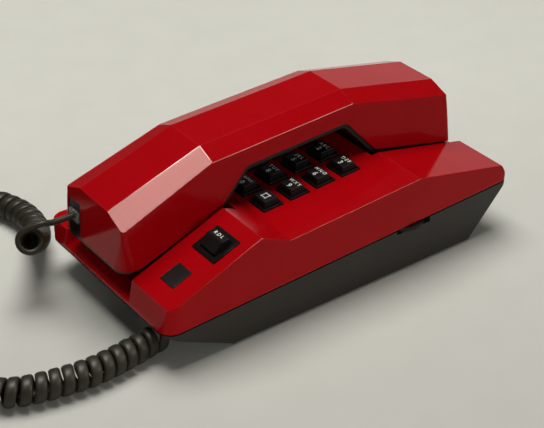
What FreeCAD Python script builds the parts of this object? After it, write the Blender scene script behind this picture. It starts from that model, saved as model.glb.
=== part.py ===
"""Wedge-shaped desk telephone with its handset lying in a trough on the left.

Millimetres. X to the user's right, Y from the near (user's) end to the far end, Z up.
The origin is the centre of the footprint, on the surface that the telephone stands on.
"""
import FreeCAD
import Part
import math
import os

from FreeCAD import Placement, Rotation, Vector

# Base: overall sizes and the parting line between cover and tray
BASE_LENGTH = 225.0
ORIGIN_FROM_NEAR_END = 112.5
BASE_WIDTH = 114.0
NEAR_CORNER_R = 8.5
FAR_CORNER_R = 3.0
PARTING_NEAR_Z = 21.2
PARTING_FAR_Z = 30.9
PARTING_GAP = 0.8
WALL = 2.4
OPEN_BELOW = 14.0
OPEN_ABOVE = 32.0
BIG = 400.0
RUN_OUT = 20.0

# Base: side profile of the deck, as distance from the near end and height
LIP_HEIGHT = 1.8
NEAR_EDGE = (2.5, 35.6)
CREST = (56.7, 57.3)
VALLEY = (74.2, 49.4)
SHOULDER = (159.3, 54.5)
FAR_EDGE = (220.2, 41.3)
FAR_LIP_HEIGHT = 2.1

# Base: trough for the handset
HANDSET_X = -8.5
TROUGH_HALF = 31.4
NEAR_TROUGH_DEPTH = 11.6
NEAR_TROUGH_END = 65.0
FAR_TROUGH_START = 155.0
FAR_TROUGH_END = 230.0
FAR_TROUGH_DEPTH = 7.2596
TROUGH_END_LEAN = 1.5
LEFT_RIM_HEIGHT = 9.0
LEFT_RIM_STEP = 1.0

# Tray
TRAY_FLOOR_NEAR = 39.2
TRAY_FLOOR_FAR = 199.2
FOOT_STANDOFF = 1.2
TONGUE_T = 1.2
TONGUE_HEIGHT = 2.2
TONGUE_CLEARANCE = 0.2

# Feet and case screws
FOOT_R = 6.0
FOOT_HEIGHT = 2.0
FOOT_GAP = 0.1
FOOT_CHAMFER = 0.4
FOOT_X = 46.0
FOOT_YS = (-62.0, 76.0)
SCREW_X = 46.0
SCREW_YS = (-44.0, 66.0)
SCREW_R = 1.5
SCREW_CLEARANCE = 0.15
SCREW_HEAD_R = 3.0
SCREW_HEAD_T = 2.0
SCREW_SEAT_Z = 6.0
SCREW_LENGTH = 24.0
POST_R = 4.5
POST_SPLIT_Z = 20.0
FIT_GAP = 0.3

# Keypad, in the plane between valley and shoulder
KEY_ROWS = 4
KEY_COLUMNS = 3
ROW_PITCH = 16.95
COLUMN_PITCH = 18.2
FIRST_ROW = 10.2
MIDDLE_COLUMN_X = 4.2
KEY_W = 10.4
KEY_D = 9.2
KEY_TAPER = 0.45
KEY_RISE = 4.2
KEY_CLEARANCE = 0.25
KEY_TRAVEL = 2.5
KEY_FLANGE = 0.9
KEY_FLANGE_T = 1.2
COLLAR_WALL = 1.35
COLLAR_RISE = 0.9
COLLAR_GAP = 0.2
FRAME_T = 1.5
FRAME_MARGIN = 3.0
DOME_W = 7.0
DOME_GAP = 0.4
DOME_HEIGHT = 2.7
MAT_T = 1.2
BOARD_T = 1.6
BOARD_MARGIN = 9.5
BOARD_SCREW_INSET = 3.5
BOARD_SCREW_R = 1.2
BOARD_SCREW_LENGTH = 6.0
BOARD_SCREW_HEAD_T = 1.2
BOSS_R = 2.6
KEY_NAMES = (("star", "0", "hash"), ("7", "8", "9"), ("4", "5", "6"), ("1", "2", "3"))

# Redial key and badge, in the plane between near edge and crest
REDIAL_X = 40.4
REDIAL_V = 41.2
REDIAL_BEZEL_W = 19.0
REDIAL_BEZEL_D = 17.0
REDIAL_W = 12.5
REDIAL_D = 10.8
REDIAL_RIDGE = 5.0
REDIAL_RIDGE_V = 1.0
REDIAL_NEAR_EDGE = 1.9
REDIAL_FAR_EDGE = 3.4
BEZEL_T = 0.9
SMALL_BOARD_W = 24.0
SMALL_BOARD_D = 30.0
TACT_W = 6.0
TACT_H = 3.4
TACT_BODY_SHARE = 0.7
TACT_BUTTON_R = 1.6
BADGE_X = 39.6
BADGE_V = 16.2
BADGE_W = 11.0
BADGE_D = 12.0
BADGE_T = 1.0
BADGE_RECESS = 0.6
BADGE_GAP = 0.1

# Hook plunger and switch
PLUNGER_Y = -62.0
PLUNGER_R = 3.5
PLUNGER_CLEARANCE = 0.08
PLUNGER_FLANGE_R = 5.5
PLUNGER_FLANGE_T = 1.6
PLUNGER_FLANGE_DROP = 8.0
PLUNGER_TAIL = 5.0
SWITCH_SIZE = (20.0, 6.5, 10.0)
SWITCH_LEVER_T = 0.8
SWITCH_HEEL = 1.5

# Volume wheel and its control
WHEEL_Y = 44.2
WHEEL_R = 13.0
WHEEL_OUT = 2.0
WHEEL_T = 2.4
WHEEL_DROP = 0.6
WHEEL_RIBS = 40
WHEEL_RIB_DEPTH = 0.35
WHEEL_RIB_ROOT = 2.0
WHEEL_SLOT_GAP = 0.3
SHAFT_R = 1.5
SHAFT_CLEARANCE = 0.05
SHAFT_RECESS = 0.4
CONTROL_W = 12.0
CONTROL_H = 6.0
CONTROL_GAP = 0.4

# Tone ringer
RINGER_Y = 12.0
RINGER_X = -20.0
RINGER_R = 16.0
RINGER_T = 7.0
RINGER_BACK_R = 8.8
RINGER_BACK_T = 2.5
RINGER_CUP_T = 1.5
RINGER_CUP_H = 4.0
SOUND_SLOTS = 5
SOUND_SLOT_W = 1.6
SOUND_SLOT_L = 18.0
SOUND_SLOT_PITCH = 4.4

# Handset: facets of the outer shell
HANDSET_NEAR_Y = -112.6
HANDSET_FAR_Y = 102.8
HANDSET_END_Z = (36.5, 42.0)
NEAR_END_LEAN = 0.053
FAR_END_LEAN = 0.098
SIDE_REF_Z = 38.0
SIDE_REF_HALF = 30.6
SIDE_DRAFT = 0.15
TOP_HALF = 13.0
TOP_NEAR = (-111.0, 66.5)
TOP_CREST_NEAR = (-56.3, 84.6)
TOP_CREST_FAR = (33.6, 88.9)
TOP_FAR = (99.6, 75.4)
CHAMFER_DROP = 4.9
CHAMFER_REF_HALF = 25.2
HANDSET_NEAR_LEFT_RADII = (2.0, 8.0)
HANDSET_NEAR_RIGHT_RADII = (2.0, 19.0)
HANDSET_FAR_RADII = (0.6, 7.0)
UPRIGHT_SLOPE = 5.0
UPRIGHT_LEAST = 15.0
HANDSET_WALL = 2.2
HANDSET_LOW_Z = 20.0

# Handset: lower edge of the red shell, near foot, finger arch and far foot
FOOT_NEAR_Z = 36.4
ARCH_NEAR_FOOT = (-55.0, 54.0)
ARCH_NEAR_TOP = (-36.3, 71.9)
ARCH_FAR_TOP = (28.8, 75.3)
ARCH_FAR_FOOT = (47.6, 54.4)
FOOT_FAR_Z = 42.3
ARCH_R = 5.0
INNER_T = 2.4
INNER_INSET = 1.0
RIM_T = 1.5
RIM_H = 4.0
RIM_GAP = 0.2

# Handset: capsules, weight and fasteners
MOUTH_Y = -88.0
MOUTH_R = 20.0
EAR_Y = 75.5
EAR_R = 21.0
CAPSULE_FLOOR = 1.8
CAPSULE_WALL = 2.0
CAPSULE_BACK = 0.7
SEAL_T = 1.5
SEAL_W = 3.0
TRANSMITTER_R = 14.0
TRANSMITTER_T = 9.0
RECEIVER_R = 17.0
RECEIVER_T = 10.0
GRILLE_SLOTS = 5
GRILLE_SLOT_W = 1.4
GRILLE_PITCH = 3.2
GRILLE_LENGTH = 16.0
HANDSET_SEAT_GAP = 0.3
WEIGHT_SIZE = (24.0, 44.0, 6.0)
HANDSET_SCREW_YS = (-63.0, 55.0)
HANDSET_SCREW_R = 1.3
HANDSET_SCREW_HEAD_R = 2.6
HANDSET_SCREW_LENGTH = 9.0
HANDSET_SCREW_HEAD_T = 1.6
HANDSET_POST_R = 3.2

# Cord sockets and plugs
JACK_X = -28.0
JACK_W = 11.6
JACK_TOP_Z = 56.0
JACK_DEPTH = 15.0
JACK_SOCKET_Z = 47.6
JACK_RECESS = 0.6
JACK_NOTCH = 8.0
PLUG_W = 7.6
PLUG_H = 6.2
PLUG_LENGTH = 12.0
PLUG_OUT = 1.2
SOCKET_GAP = 0.25
BASE_JACK_X = 36.0
BASE_JACK_Z = 13.6
BASE_JACK_W = 12.0
BASE_JACK_H = 10.0
BASE_JACK_DEPTH = 15.0
LINE_JACK_X = -30.0
LINE_JACK_Z = 14.0
LINE_JACK_W = 14.0
LINE_JACK_H = 12.0
LINE_JACK_DEPTH = 16.0
LINE_SOCKET_W = 9.8
LINE_SOCKET_H = 6.8
LINE_SOCKET_DEPTH = 12.0
HOUSING_GAP = 0.3
BASE_JACK_SETBACK = 8.0
LINE_JACK_SETBACK = 2.5
JACK_SHELF_SETBACK = 5.0
LINE_SHELF_SETBACK = 6.0
LINE_LATCH_W = 4.0
LINE_LATCH_H = 1.2
LATCH_W = 2.6
LATCH_T = 0.7
LATCH_LENGTH = 6.2
LATCH_GAP = 0.3

# Curly cord: wire, curls, and the axis that the curls follow from the handset to the base
WIRE_R = 2.1
WIRE_SIDES = 6
CURL_R = 5.3
CURLS = 63.75
CURL_HAND = -1.0
CURL_START_DEG = 345.0
TAIL_STRAIGHT = 4.6
BEND_SHARE = 0.45
CURL_ROUTE = [(-28.0, -138.0, 42.0), (-66.0, -113.0, 12.0), (-98.0, -103.0, 8.0), (-130.0, -116.0, 8.0),
              (-138.0, -148.0, 8.0), (-114.0, -174.0, 8.0), (-76.0, -189.0, 8.0), (-34.0, -202.0, 8.0),
              (8.0, -207.0, 8.0), (33.0, -189.0, 8.0), (41.0, -160.0, 8.0), (43.0, -136.0, 8.0),
              (38.0, -106.5, 8.2)]
LEAST_SELF_GAP = 0.4
GAP_STEP = 0.7

NEAR_Y = -ORIGIN_FROM_NEAR_END
FAR_Y = NEAR_Y + BASE_LENGTH
HALF_WIDTH = BASE_WIDTH / 2
TRAY_Z = FOOT_STANDOFF
TRAY_FLOOR_TOP = TRAY_Z + WALL


# General helpers

def box(x0, x1, y0, y1, z0, z1):
    return Part.makeBox(x1 - x0, y1 - y0, z1 - z0, Vector(x0, y0, z0))


def side_prism(points, x0, x1):
    """Prism of a (y, z) outline between two X planes."""
    wire = Part.makePolygon([Vector(x0, y, z) for y, z in points + points[:1]])
    return Part.Face(wire).extrude(Vector(x1 - x0, 0, 0))


def inset(points, distance):
    """A clockwise or anticlockwise outline moved inwards by a distance, corners kept sharp."""
    area = sum(a[0] * b[1] - b[0] * a[1] for a, b in zip(points, points[1:] + points[:1]))
    turn = 1.0 if area > 0 else -1.0
    lines = []
    for a, b in zip(points, points[1:] + points[:1]):
        length = math.hypot(b[0] - a[0], b[1] - a[1])
        u = ((b[0] - a[0]) / length, (b[1] - a[1]) / length)
        n = (-u[1] * turn, u[0] * turn)
        lines.append(((a[0] + n[0] * distance, a[1] + n[1] * distance), u))
    moved = []
    for (p, u), (q, v) in zip(lines[-1:] + lines[:-1], lines):
        cross = u[0] * v[1] - u[1] * v[0]
        s = ((q[0] - p[0]) * v[1] - (q[1] - p[1]) * v[0]) / cross
        moved.append((p[0] + u[0] * s, p[1] + u[1] * s))
    return moved


def rounded_outline(x0, x1, y0, y1, near_r, far_r):
    """Closed plan outline with its near and far corners rounded."""
    corners = [(x1, y0, near_r, -90), (x1, y1, far_r, 0), (x0, y1, far_r, 90), (x0, y0, near_r, 180)]
    edges = []
    ends = []
    for x, y, r, start in corners:
        cx = x - r if x == x1 else x + r
        cy = y - r if y == y1 else y + r
        angles = [math.radians(start + a) for a in (0, 45, 90)]
        arc = [Vector(cx + r * math.cos(a), cy + r * math.sin(a), 0) for a in angles]
        ends.append(arc)
    for arc, following in zip(ends, ends[1:] + ends[:1]):
        edges.append(Part.Arc(*arc).toShape())
        edges.append(Part.LineSegment(arc[2], following[0]).toShape())
    return Part.Wire(edges)


def plan_prism(inward, z0, z1):
    """The base's plan outline, moved inwards, between two heights."""
    wire = rounded_outline(-HALF_WIDTH + inward, HALF_WIDTH - inward, NEAR_Y + inward, FAR_Y - inward,
                           max(NEAR_CORNER_R - inward, 0.5), max(FAR_CORNER_R - inward, 0.5))
    wire.translate(Vector(0, 0, z0))
    return Part.Face(wire).extrude(Vector(0, 0, z1 - z0))


def bar(width, depth, z0, z1):
    """Upright square bar on the local Z axis."""
    return box(-width / 2, width / 2, -depth / 2, depth / 2, z0, z1)


def tapered_bar(width, depth, z0, z1, taper):
    """Upright bar drawn in by a taper at its top."""
    wires = []
    for z, shrink in ((z0, 0.0), (z1, taper)):
        w = width / 2 - shrink
        d = depth / 2 - shrink
        corners = [Vector(-w, -d, z), Vector(w, -d, z), Vector(w, d, z), Vector(-w, d, z)]
        wires.append(Part.makePolygon(corners + corners[:1]))
    return Part.makeLoft(wires, True, True)


def cylinder(radius, z0, z1, x=0.0, y=0.0):
    return Part.makeCylinder(radius, z1 - z0, Vector(x, y, z0))


def beneath(point, normal):
    """Large block that fills the space behind a plane."""
    block = Part.makeBox(2 * BIG, 2 * BIG, 2 * BIG, Vector(-BIG, -BIG, -2 * BIG))
    block.Placement = Placement(point, Rotation(Vector(0, 0, 1), normal))
    return block


def at(shape, placement):
    """A copy of a shape moved by a placement."""
    moved = shape.copy()
    moved.Placement = placement.multiply(moved.Placement)
    return moved


def save(name, shape):
    shape = shape.removeSplitter() if shape.ShapeType == "Solid" else shape
    shape.exportStep("parts/" + name + ".step")


def one_solid(shape):
    """The single solid of a boolean result."""
    assert len(shape.Solids) == 1, len(shape.Solids)
    return shape.Solids[0]


# Base: profiles and reference planes

def from_near(point):
    return (NEAR_Y + point[0], point[1])


def parting_z(y):
    share = (y - NEAR_Y) / BASE_LENGTH
    return PARTING_NEAR_Z + share * (PARTING_FAR_Z - PARTING_NEAR_Z)


DECK = [from_near(p) for p in (NEAR_EDGE, CREST, VALLEY, SHOULDER, FAR_EDGE)]
NEAR_LIP_Z = PARTING_NEAR_Z + LIP_HEIGHT
FAR_LIP_Z = PARTING_FAR_Z + FAR_LIP_HEIGHT
NEAR_SLOPE = (DECK[1][1] - DECK[0][1]) / (DECK[1][0] - DECK[0][0])
FAR_SLOPE = (DECK[4][1] - DECK[3][1]) / (DECK[4][0] - DECK[3][0])


def deck_placement(first, second, x=0.0, along=0.0):
    """Frame on a deck facet: local Y along the facet from its first edge, local Z out of it."""
    (y0, z0), (y1, z1) = DECK[first], DECK[second]
    tilt = Rotation(Vector(1, 0, 0), math.degrees(math.atan2(z1 - z0, y1 - y0)))
    origin = Vector(x, y0, z0) + tilt.multVec(Vector(0, along, 0))
    return Placement(origin, tilt)


def near_floor_z(y):
    return NEAR_LIP_Z + (y - NEAR_Y) * NEAR_SLOPE


def far_floor_z(y):
    return DECK[4][1] - FAR_TROUGH_DEPTH + (y - DECK[4][0]) * FAR_SLOPE


KEYPAD = deck_placement(2, 3)
REDIAL = deck_placement(0, 1, REDIAL_X, REDIAL_V)
BADGE = deck_placement(0, 1, BADGE_X, BADGE_V)
PLATE_LOW = -WALL - FRAME_T
KEY_BOTTOM = PLATE_LOW - FIT_GAP - KEY_FLANGE_T
DOME_TOP = KEY_BOTTOM - KEY_TRAVEL - DOME_GAP
MAT_TOP = DOME_TOP - DOME_HEIGHT
BOARD_TOP = MAT_TOP - MAT_T
COLLAR_W = KEY_W + 2 * KEY_CLEARANCE + 2 * COLLAR_WALL
COLLAR_D = KEY_D + 2 * KEY_CLEARANCE + 2 * COLLAR_WALL


def key_places():
    """Name and local place of every key, from the row nearest the user."""
    for row in range(KEY_ROWS):
        for column in range(KEY_COLUMNS):
            x = MIDDLE_COLUMN_X + (column - 1) * COLUMN_PITCH
            yield "key_" + KEY_NAMES[row][column], Vector(x, FIRST_ROW + row * ROW_PITCH, 0)


def keypad_block(margin, z0, z1):
    """Local block round all keys, with a margin beyond the collars."""
    half_w = COLUMN_PITCH + COLLAR_W / 2 + margin
    low = FIRST_ROW - COLLAR_D / 2 - margin
    high = FIRST_ROW + (KEY_ROWS - 1) * ROW_PITCH + COLLAR_D / 2 + margin
    return box(MIDDLE_COLUMN_X - half_w, MIDDLE_COLUMN_X + half_w, low, high, z0, z1)


def board_screw_places():
    half_w = COLUMN_PITCH + COLLAR_W / 2 + BOARD_MARGIN - BOARD_SCREW_INSET
    low = FIRST_ROW - COLLAR_D / 2 - BOARD_MARGIN + BOARD_SCREW_INSET
    high = FIRST_ROW + (KEY_ROWS - 1) * ROW_PITCH + COLLAR_D / 2 + BOARD_MARGIN - BOARD_SCREW_INSET
    return [(MIDDLE_COLUMN_X + sx * half_w, y) for sx in (-1, 1) for y in (low, high)]


def small_board_screw_places():
    offset = SMALL_BOARD_D / 2 - BOARD_SCREW_INSET
    return [(0.0, -offset), (0.0, offset)]


# Base: red cover

def trough_cutters(grow):
    """Near and far handset troughs and the room left of them, grown by a wall's thickness for the inside."""
    x0 = HANDSET_X - TROUGH_HALF - grow
    x1 = HANDSET_X + TROUGH_HALF + grow
    drop_near = grow * math.hypot(1, NEAR_SLOPE)
    drop_far = grow * math.hypot(1, FAR_SLOPE)
    out = RUN_OUT
    near_end = NEAR_Y + NEAR_TROUGH_END + grow
    far_start = NEAR_Y + FAR_TROUGH_START - grow
    far_end = NEAR_Y + FAR_TROUGH_END + grow
    top = CREST[1] + out
    near_floor = [(y, near_floor_z(y) - drop_near) for y in (NEAR_Y - out, near_end)]
    near = near_floor + [(near_end + TROUGH_END_LEAN, top), (NEAR_Y - out, top)]
    far_floor = [(y, far_floor_z(y) - drop_far) for y in (far_end, far_start)]
    far = far_floor + [(far_start - TROUGH_END_LEAN, top), (far_end, top)]
    return side_prism(near, x0, x1), side_prism(far, x0, x1), left_cutter(x0 + grow, grow)


def left_cutter(x1, grow):
    """Room over the low rim beside the handset's near foot, as wide as the deck left of the trough."""
    drop = grow * math.hypot(1, NEAR_SLOPE)
    rim_z = NEAR_LIP_Z + LEFT_RIM_HEIGHT
    bend = NEAR_Y + (LEFT_RIM_HEIGHT - LEFT_RIM_STEP) / NEAR_SLOPE
    high = DECK[2][0]
    top = CREST[1] + RUN_OUT
    outline = [(NEAR_Y - RUN_OUT, rim_z - grow), (bend, rim_z - grow),
               (high, near_floor_z(high) + LEFT_RIM_STEP - drop), (high, top), (NEAR_Y - RUN_OUT, top)]
    return side_prism(outline, -HALF_WIDTH - RUN_OUT, x1)


def cover_outline(bottom):
    ends = [(FAR_Y, FAR_LIP_Z), (FAR_Y, parting_z(FAR_Y) - bottom), (NEAR_Y, parting_z(NEAR_Y) - bottom)]
    return [(NEAR_Y, NEAR_LIP_Z)] + DECK + ends


def cover_outer():
    body = side_prism(cover_outline(0.0), -HALF_WIDTH, HALF_WIDTH)
    body = body.common(plan_prism(0.0, 0.0, BIG))
    for cutter in trough_cutters(0.0):
        body = body.cut(cutter)
    return body


def cover_inside():
    hollow = side_prism(inset(cover_outline(OPEN_BELOW), WALL), -HALF_WIDTH, HALF_WIDTH)
    hollow = hollow.common(plan_prism(WALL, -BIG, BIG))
    for cutter in trough_cutters(WALL):
        hollow = hollow.cut(cutter)
    return hollow


def cover_bosses(inside):
    """Posts that hang from the cover's inside for the case, board and redial board screws."""
    posts = [cylinder(POST_R, POST_SPLIT_Z, BIG, sx * SCREW_X, y) for sx in (-1, 1) for y in SCREW_YS]
    for x, y in board_screw_places():
        posts.append(at(cylinder(BOSS_R, BOARD_TOP, 0, x, y), KEYPAD))
    for x, y in small_board_screw_places():
        posts.append(at(cylinder(BOSS_R, BOARD_TOP, 0, x, y), REDIAL))
    return [post.common(inside) for post in posts]


def screw_holes():
    tip = SCREW_SEAT_Z + SCREW_LENGTH + 1
    holes = [cylinder(SCREW_R + SCREW_CLEARANCE, POST_SPLIT_Z - 1, tip, sx * SCREW_X, y)
             for sx in (-1, 1) for y in SCREW_YS]
    radius = BOARD_SCREW_R + SCREW_CLEARANCE
    top = BOARD_TOP + BOARD_SCREW_LENGTH - BOARD_T + 0.5
    for x, y in board_screw_places():
        holes.append(at(cylinder(radius, BOARD_TOP - 1, top, x, y), KEYPAD))
    for x, y in small_board_screw_places():
        holes.append(at(cylinder(radius, BOARD_TOP - 1, top, x, y), REDIAL))
    return holes


def base_top_cover():
    inside = cover_inside()
    cover = cover_outer().cut(inside)
    cover = cover.multiFuse(cover_bosses(inside))
    cutters = screw_holes()
    for _, place in key_places():
        hole = bar(COLLAR_W + 2 * COLLAR_GAP, COLLAR_D + 2 * COLLAR_GAP, -WALL - 1, 1)
        hole.translate(place)
        cutters.append(at(hole, KEYPAD))
    collar = redial_collar_size()
    cutters.append(at(bar(collar[0] + 2 * COLLAR_GAP, collar[1] + 2 * COLLAR_GAP, -WALL - 1, 1), REDIAL))
    recess = bar(BADGE_W + 2 * BADGE_GAP, BADGE_D + 2 * BADGE_GAP, -BADGE_RECESS, 1)
    cutters.append(at(recess, BADGE))
    cutters.append(cylinder(PLUNGER_R + PLUNGER_CLEARANCE, 0, BIG, HANDSET_X, PLUNGER_Y))
    return one_solid(cover.cut(Part.makeCompound(cutters)))


# Base: grey tray

def tray_outline():
    low_near = NEAR_Y + TRAY_FLOOR_NEAR
    low_far = NEAR_Y + TRAY_FLOOR_FAR
    return [(NEAR_Y, parting_z(NEAR_Y) - PARTING_GAP), (low_near, TRAY_Z), (low_far, TRAY_Z),
            (FAR_Y, parting_z(FAR_Y) - PARTING_GAP)]


def raised(points, height):
    """The tray outline with its open top edge carried up by a height."""
    near, far = points[0], points[-1]
    return points + [(far[0], far[1] + height), (near[0], near[1] + height)]


def undercut_y(z, far):
    """Y of the undercut face at a height, at the far or the near end."""
    points = tray_outline()
    (y0, z0), (y1, z1) = (points[2], points[3]) if far else (points[1], points[0])
    return y0 + (z - z0) / (z1 - z0) * (y1 - y0)


def tray_shell():
    outline = tray_outline()
    outer = side_prism(outline, -HALF_WIDTH, HALF_WIDTH).common(plan_prism(0.0, 0.0, BIG))
    inner_line = inset(raised(outline, OPEN_ABOVE), WALL)
    inner = side_prism(inner_line, -HALF_WIDTH, HALF_WIDTH).common(plan_prism(WALL, 0.0, BIG))
    inward = WALL + TONGUE_CLEARANCE
    tongue = side_prism(inset(raised(outline, OPEN_ABOVE), inward), -HALF_WIDTH, HALF_WIDTH)
    tongue = tongue.common(plan_prism(inward, 0.0, BIG))
    hollow = side_prism(inset(raised(outline, OPEN_ABOVE), inward + TONGUE_T), -HALF_WIDTH, HALF_WIDTH)
    hollow = hollow.common(plan_prism(inward + TONGUE_T, 0.0, BIG))
    root = [(y, z - TONGUE_HEIGHT) for y, z in (outline[0], outline[-1])]
    top = [(y, z + TONGUE_HEIGHT + PARTING_GAP) for y, z in (outline[-1], outline[0])]
    band = side_prism(root + top, -HALF_WIDTH, HALF_WIDTH)
    cover_room = side_prism(inset(cover_outline(OPEN_BELOW), inward), -HALF_WIDTH, HALF_WIDTH)
    tongue = tongue.cut(hollow).common(band).common(cover_room)
    for cutter in trough_cutters(inward):
        tongue = tongue.cut(cutter)
    link = side_prism(root + [(outline[-1][0], outline[-1][1]), (outline[0][0], outline[0][1])],
                      -HALF_WIDTH, HALF_WIDTH)
    link = link.common(inner).cut(hollow)
    return outer.cut(inner).fuse(tongue).fuse(link), inner


def pillar(x, y, half_x, half_y, top):
    return box(x - half_x, x + half_x, y - half_y, y + half_y, TRAY_Z + WALL / 2, top)


def base_bottom_tray():
    shell, inner = tray_shell()
    adds = [cylinder(POST_R, TRAY_Z + WALL / 2, POST_SPLIT_Z - FIT_GAP, sx * SCREW_X, y)
            for sx in (-1, 1) for y in SCREW_YS]
    adds.append(pillar(HANDSET_X, PLUNGER_Y, SWITCH_SIZE[0] / 2 - 2, SWITCH_SIZE[1] / 2, switch_bottom()))
    adds.append(pillar(wheel_x(), WHEEL_Y, CONTROL_W / 2 - 2, CONTROL_W / 2, control_bottom()))
    adds.append(cylinder(RINGER_R + FIT_GAP + RINGER_CUP_T, TRAY_Z + WALL / 2, TRAY_FLOOR_TOP + RINGER_CUP_H,
                         RINGER_X, RINGER_Y))
    base_low = BASE_JACK_Z - BASE_JACK_H / 2
    line_low = LINE_JACK_Z - LINE_JACK_H / 2
    base_front = base_jack_front()
    line_front = line_jack_front()
    adds.append(box(BASE_JACK_X - BASE_JACK_W / 2, BASE_JACK_X + BASE_JACK_W / 2,
                    base_front + JACK_SHELF_SETBACK, base_front + BASE_JACK_DEPTH, TRAY_Z, base_low))
    adds.append(box(LINE_JACK_X - LINE_JACK_W / 2, LINE_JACK_X + LINE_JACK_W / 2,
                    line_front - LINE_JACK_DEPTH, line_front - LINE_SHELF_SETBACK, TRAY_Z, line_low))
    envelope = side_prism(raised(tray_outline(), 0.01)[:4], -HALF_WIDTH, HALF_WIDTH)
    shell = shell.multiFuse([add.common(envelope) for add in adds])
    cutters = [cylinder(RINGER_R + FIT_GAP, TRAY_FLOOR_TOP, BIG, RINGER_X, RINGER_Y)]
    for sx in (-1, 1):
        for y in SCREW_YS:
            cutters.append(cylinder(SCREW_R + 2 * SCREW_CLEARANCE, 0, BIG, sx * SCREW_X, y))
            cutters.append(cylinder(SCREW_HEAD_R + SCREW_CLEARANCE, 0, SCREW_SEAT_Z, sx * SCREW_X, y))
        for y in FOOT_YS:
            cutters.append(cylinder(FOOT_R + FOOT_GAP, 0, FOOT_HEIGHT, sx * FOOT_X, y))
    for k in range(SOUND_SLOTS):
        y = RINGER_Y + (k - (SOUND_SLOTS - 1) / 2) * SOUND_SLOT_PITCH
        cutters.append(box(RINGER_X - SOUND_SLOT_L / 2, RINGER_X + SOUND_SLOT_L / 2, y - SOUND_SLOT_W / 2,
                           y + SOUND_SLOT_W / 2, 0, TRAY_FLOOR_TOP + 0.1))
    chord = math.sqrt(WHEEL_R ** 2 - (HALF_WIDTH - WALL - TONGUE_T - 1 - wheel_x()) ** 2) + WHEEL_SLOT_GAP
    cutters.append(box(wheel_x(), HALF_WIDTH + 5, WHEEL_Y - chord, WHEEL_Y + chord,
                       wheel_z0() - WHEEL_SLOT_GAP, BIG))
    gap = HOUSING_GAP
    cutters.append(box(BASE_JACK_X - BASE_JACK_W / 2 - gap, BASE_JACK_X + BASE_JACK_W / 2 + gap, NEAR_Y,
                       base_front + BASE_JACK_DEPTH + gap, base_low, base_low + BASE_JACK_H + gap))
    cutters.append(box(LINE_JACK_X - LINE_JACK_W / 2 - gap, LINE_JACK_X + LINE_JACK_W / 2 + gap,
                       line_front - LINE_JACK_DEPTH - gap, FAR_Y, line_low, line_low + LINE_JACK_H + gap))
    return one_solid(shell.cut(Part.makeCompound(cutters)))


# Base: keypad

def keypad_frame():
    frame = keypad_block(FRAME_MARGIN, PLATE_LOW, -WALL)
    collars = []
    holes = []
    for _, place in key_places():
        collar = bar(COLLAR_W, COLLAR_D, PLATE_LOW, COLLAR_RISE)
        hole = bar(KEY_W + 2 * KEY_CLEARANCE, KEY_D + 2 * KEY_CLEARANCE, PLATE_LOW - 1, COLLAR_RISE + 1)
        collar.translate(place)
        hole.translate(place)
        collars.append(collar)
        holes.append(hole)
    frame = frame.multiFuse(collars).cut(Part.makeCompound(holes))
    return at(one_solid(frame), KEYPAD)


def key_cap():
    """Square cap with drafted sides above its collar and a stop flange below it."""
    stem = bar(KEY_W, KEY_D, KEY_BOTTOM, COLLAR_RISE)
    cap = tapered_bar(KEY_W, KEY_D, COLLAR_RISE, KEY_RISE, KEY_TAPER)
    flange = bar(KEY_W + 2 * KEY_FLANGE, KEY_D + 2 * KEY_FLANGE, KEY_BOTTOM, KEY_BOTTOM + KEY_FLANGE_T)
    return one_solid(stem.multiFuse([cap, flange]))


def keypad_mat():
    mat = keypad_block(FRAME_MARGIN, BOARD_TOP, MAT_TOP)
    domes = []
    for _, place in key_places():
        dome = tapered_bar(DOME_W, DOME_W, MAT_TOP, DOME_TOP, DOME_W / 5)
        dome.translate(place)
        domes.append(dome)
    return at(one_solid(mat.multiFuse(domes)), KEYPAD)


def circuit_board():
    board = keypad_block(BOARD_MARGIN, BOARD_TOP - BOARD_T, BOARD_TOP)
    holes = [cylinder(BOARD_SCREW_R + SCREW_CLEARANCE, BOARD_TOP - 5, BOARD_TOP + 1, x, y)
             for x, y in board_screw_places()]
    return at(one_solid(board.cut(Part.makeCompound(holes))), KEYPAD)


def board_screw():
    """Small pan-head screw, head under the board, shank up along local Z."""
    low = BOARD_TOP - BOARD_T
    head = cylinder(2 * BOARD_SCREW_R, low - BOARD_SCREW_HEAD_T, low)
    return one_solid(head.fuse(cylinder(BOARD_SCREW_R, low, low + BOARD_SCREW_LENGTH)))


def board_screws():
    screws = [at(board_screw(), KEYPAD.multiply(Placement(Vector(x, y, 0), Rotation())))
              for x, y in board_screw_places()]
    screws += [at(board_screw(), REDIAL.multiply(Placement(Vector(x, y, 0), Rotation())))
               for x, y in small_board_screw_places()]
    return Part.makeCompound(screws)


# Base: redial key and badge

def redial_collar_size():
    return (REDIAL_W + 2 * KEY_CLEARANCE + 2 * COLLAR_WALL, REDIAL_D + 2 * KEY_CLEARANCE + 2 * COLLAR_WALL)


def redial_bezel():
    width, depth = redial_collar_size()
    rim = bar(REDIAL_BEZEL_W, REDIAL_BEZEL_D, 0, BEZEL_T)
    tube = bar(width, depth, PLATE_LOW, BEZEL_T)
    hole = bar(REDIAL_W + 2 * KEY_CLEARANCE, REDIAL_D + 2 * KEY_CLEARANCE, PLATE_LOW - 1, BEZEL_T + 1)
    return at(one_solid(rim.fuse(tube).cut(hole)), REDIAL)


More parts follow.
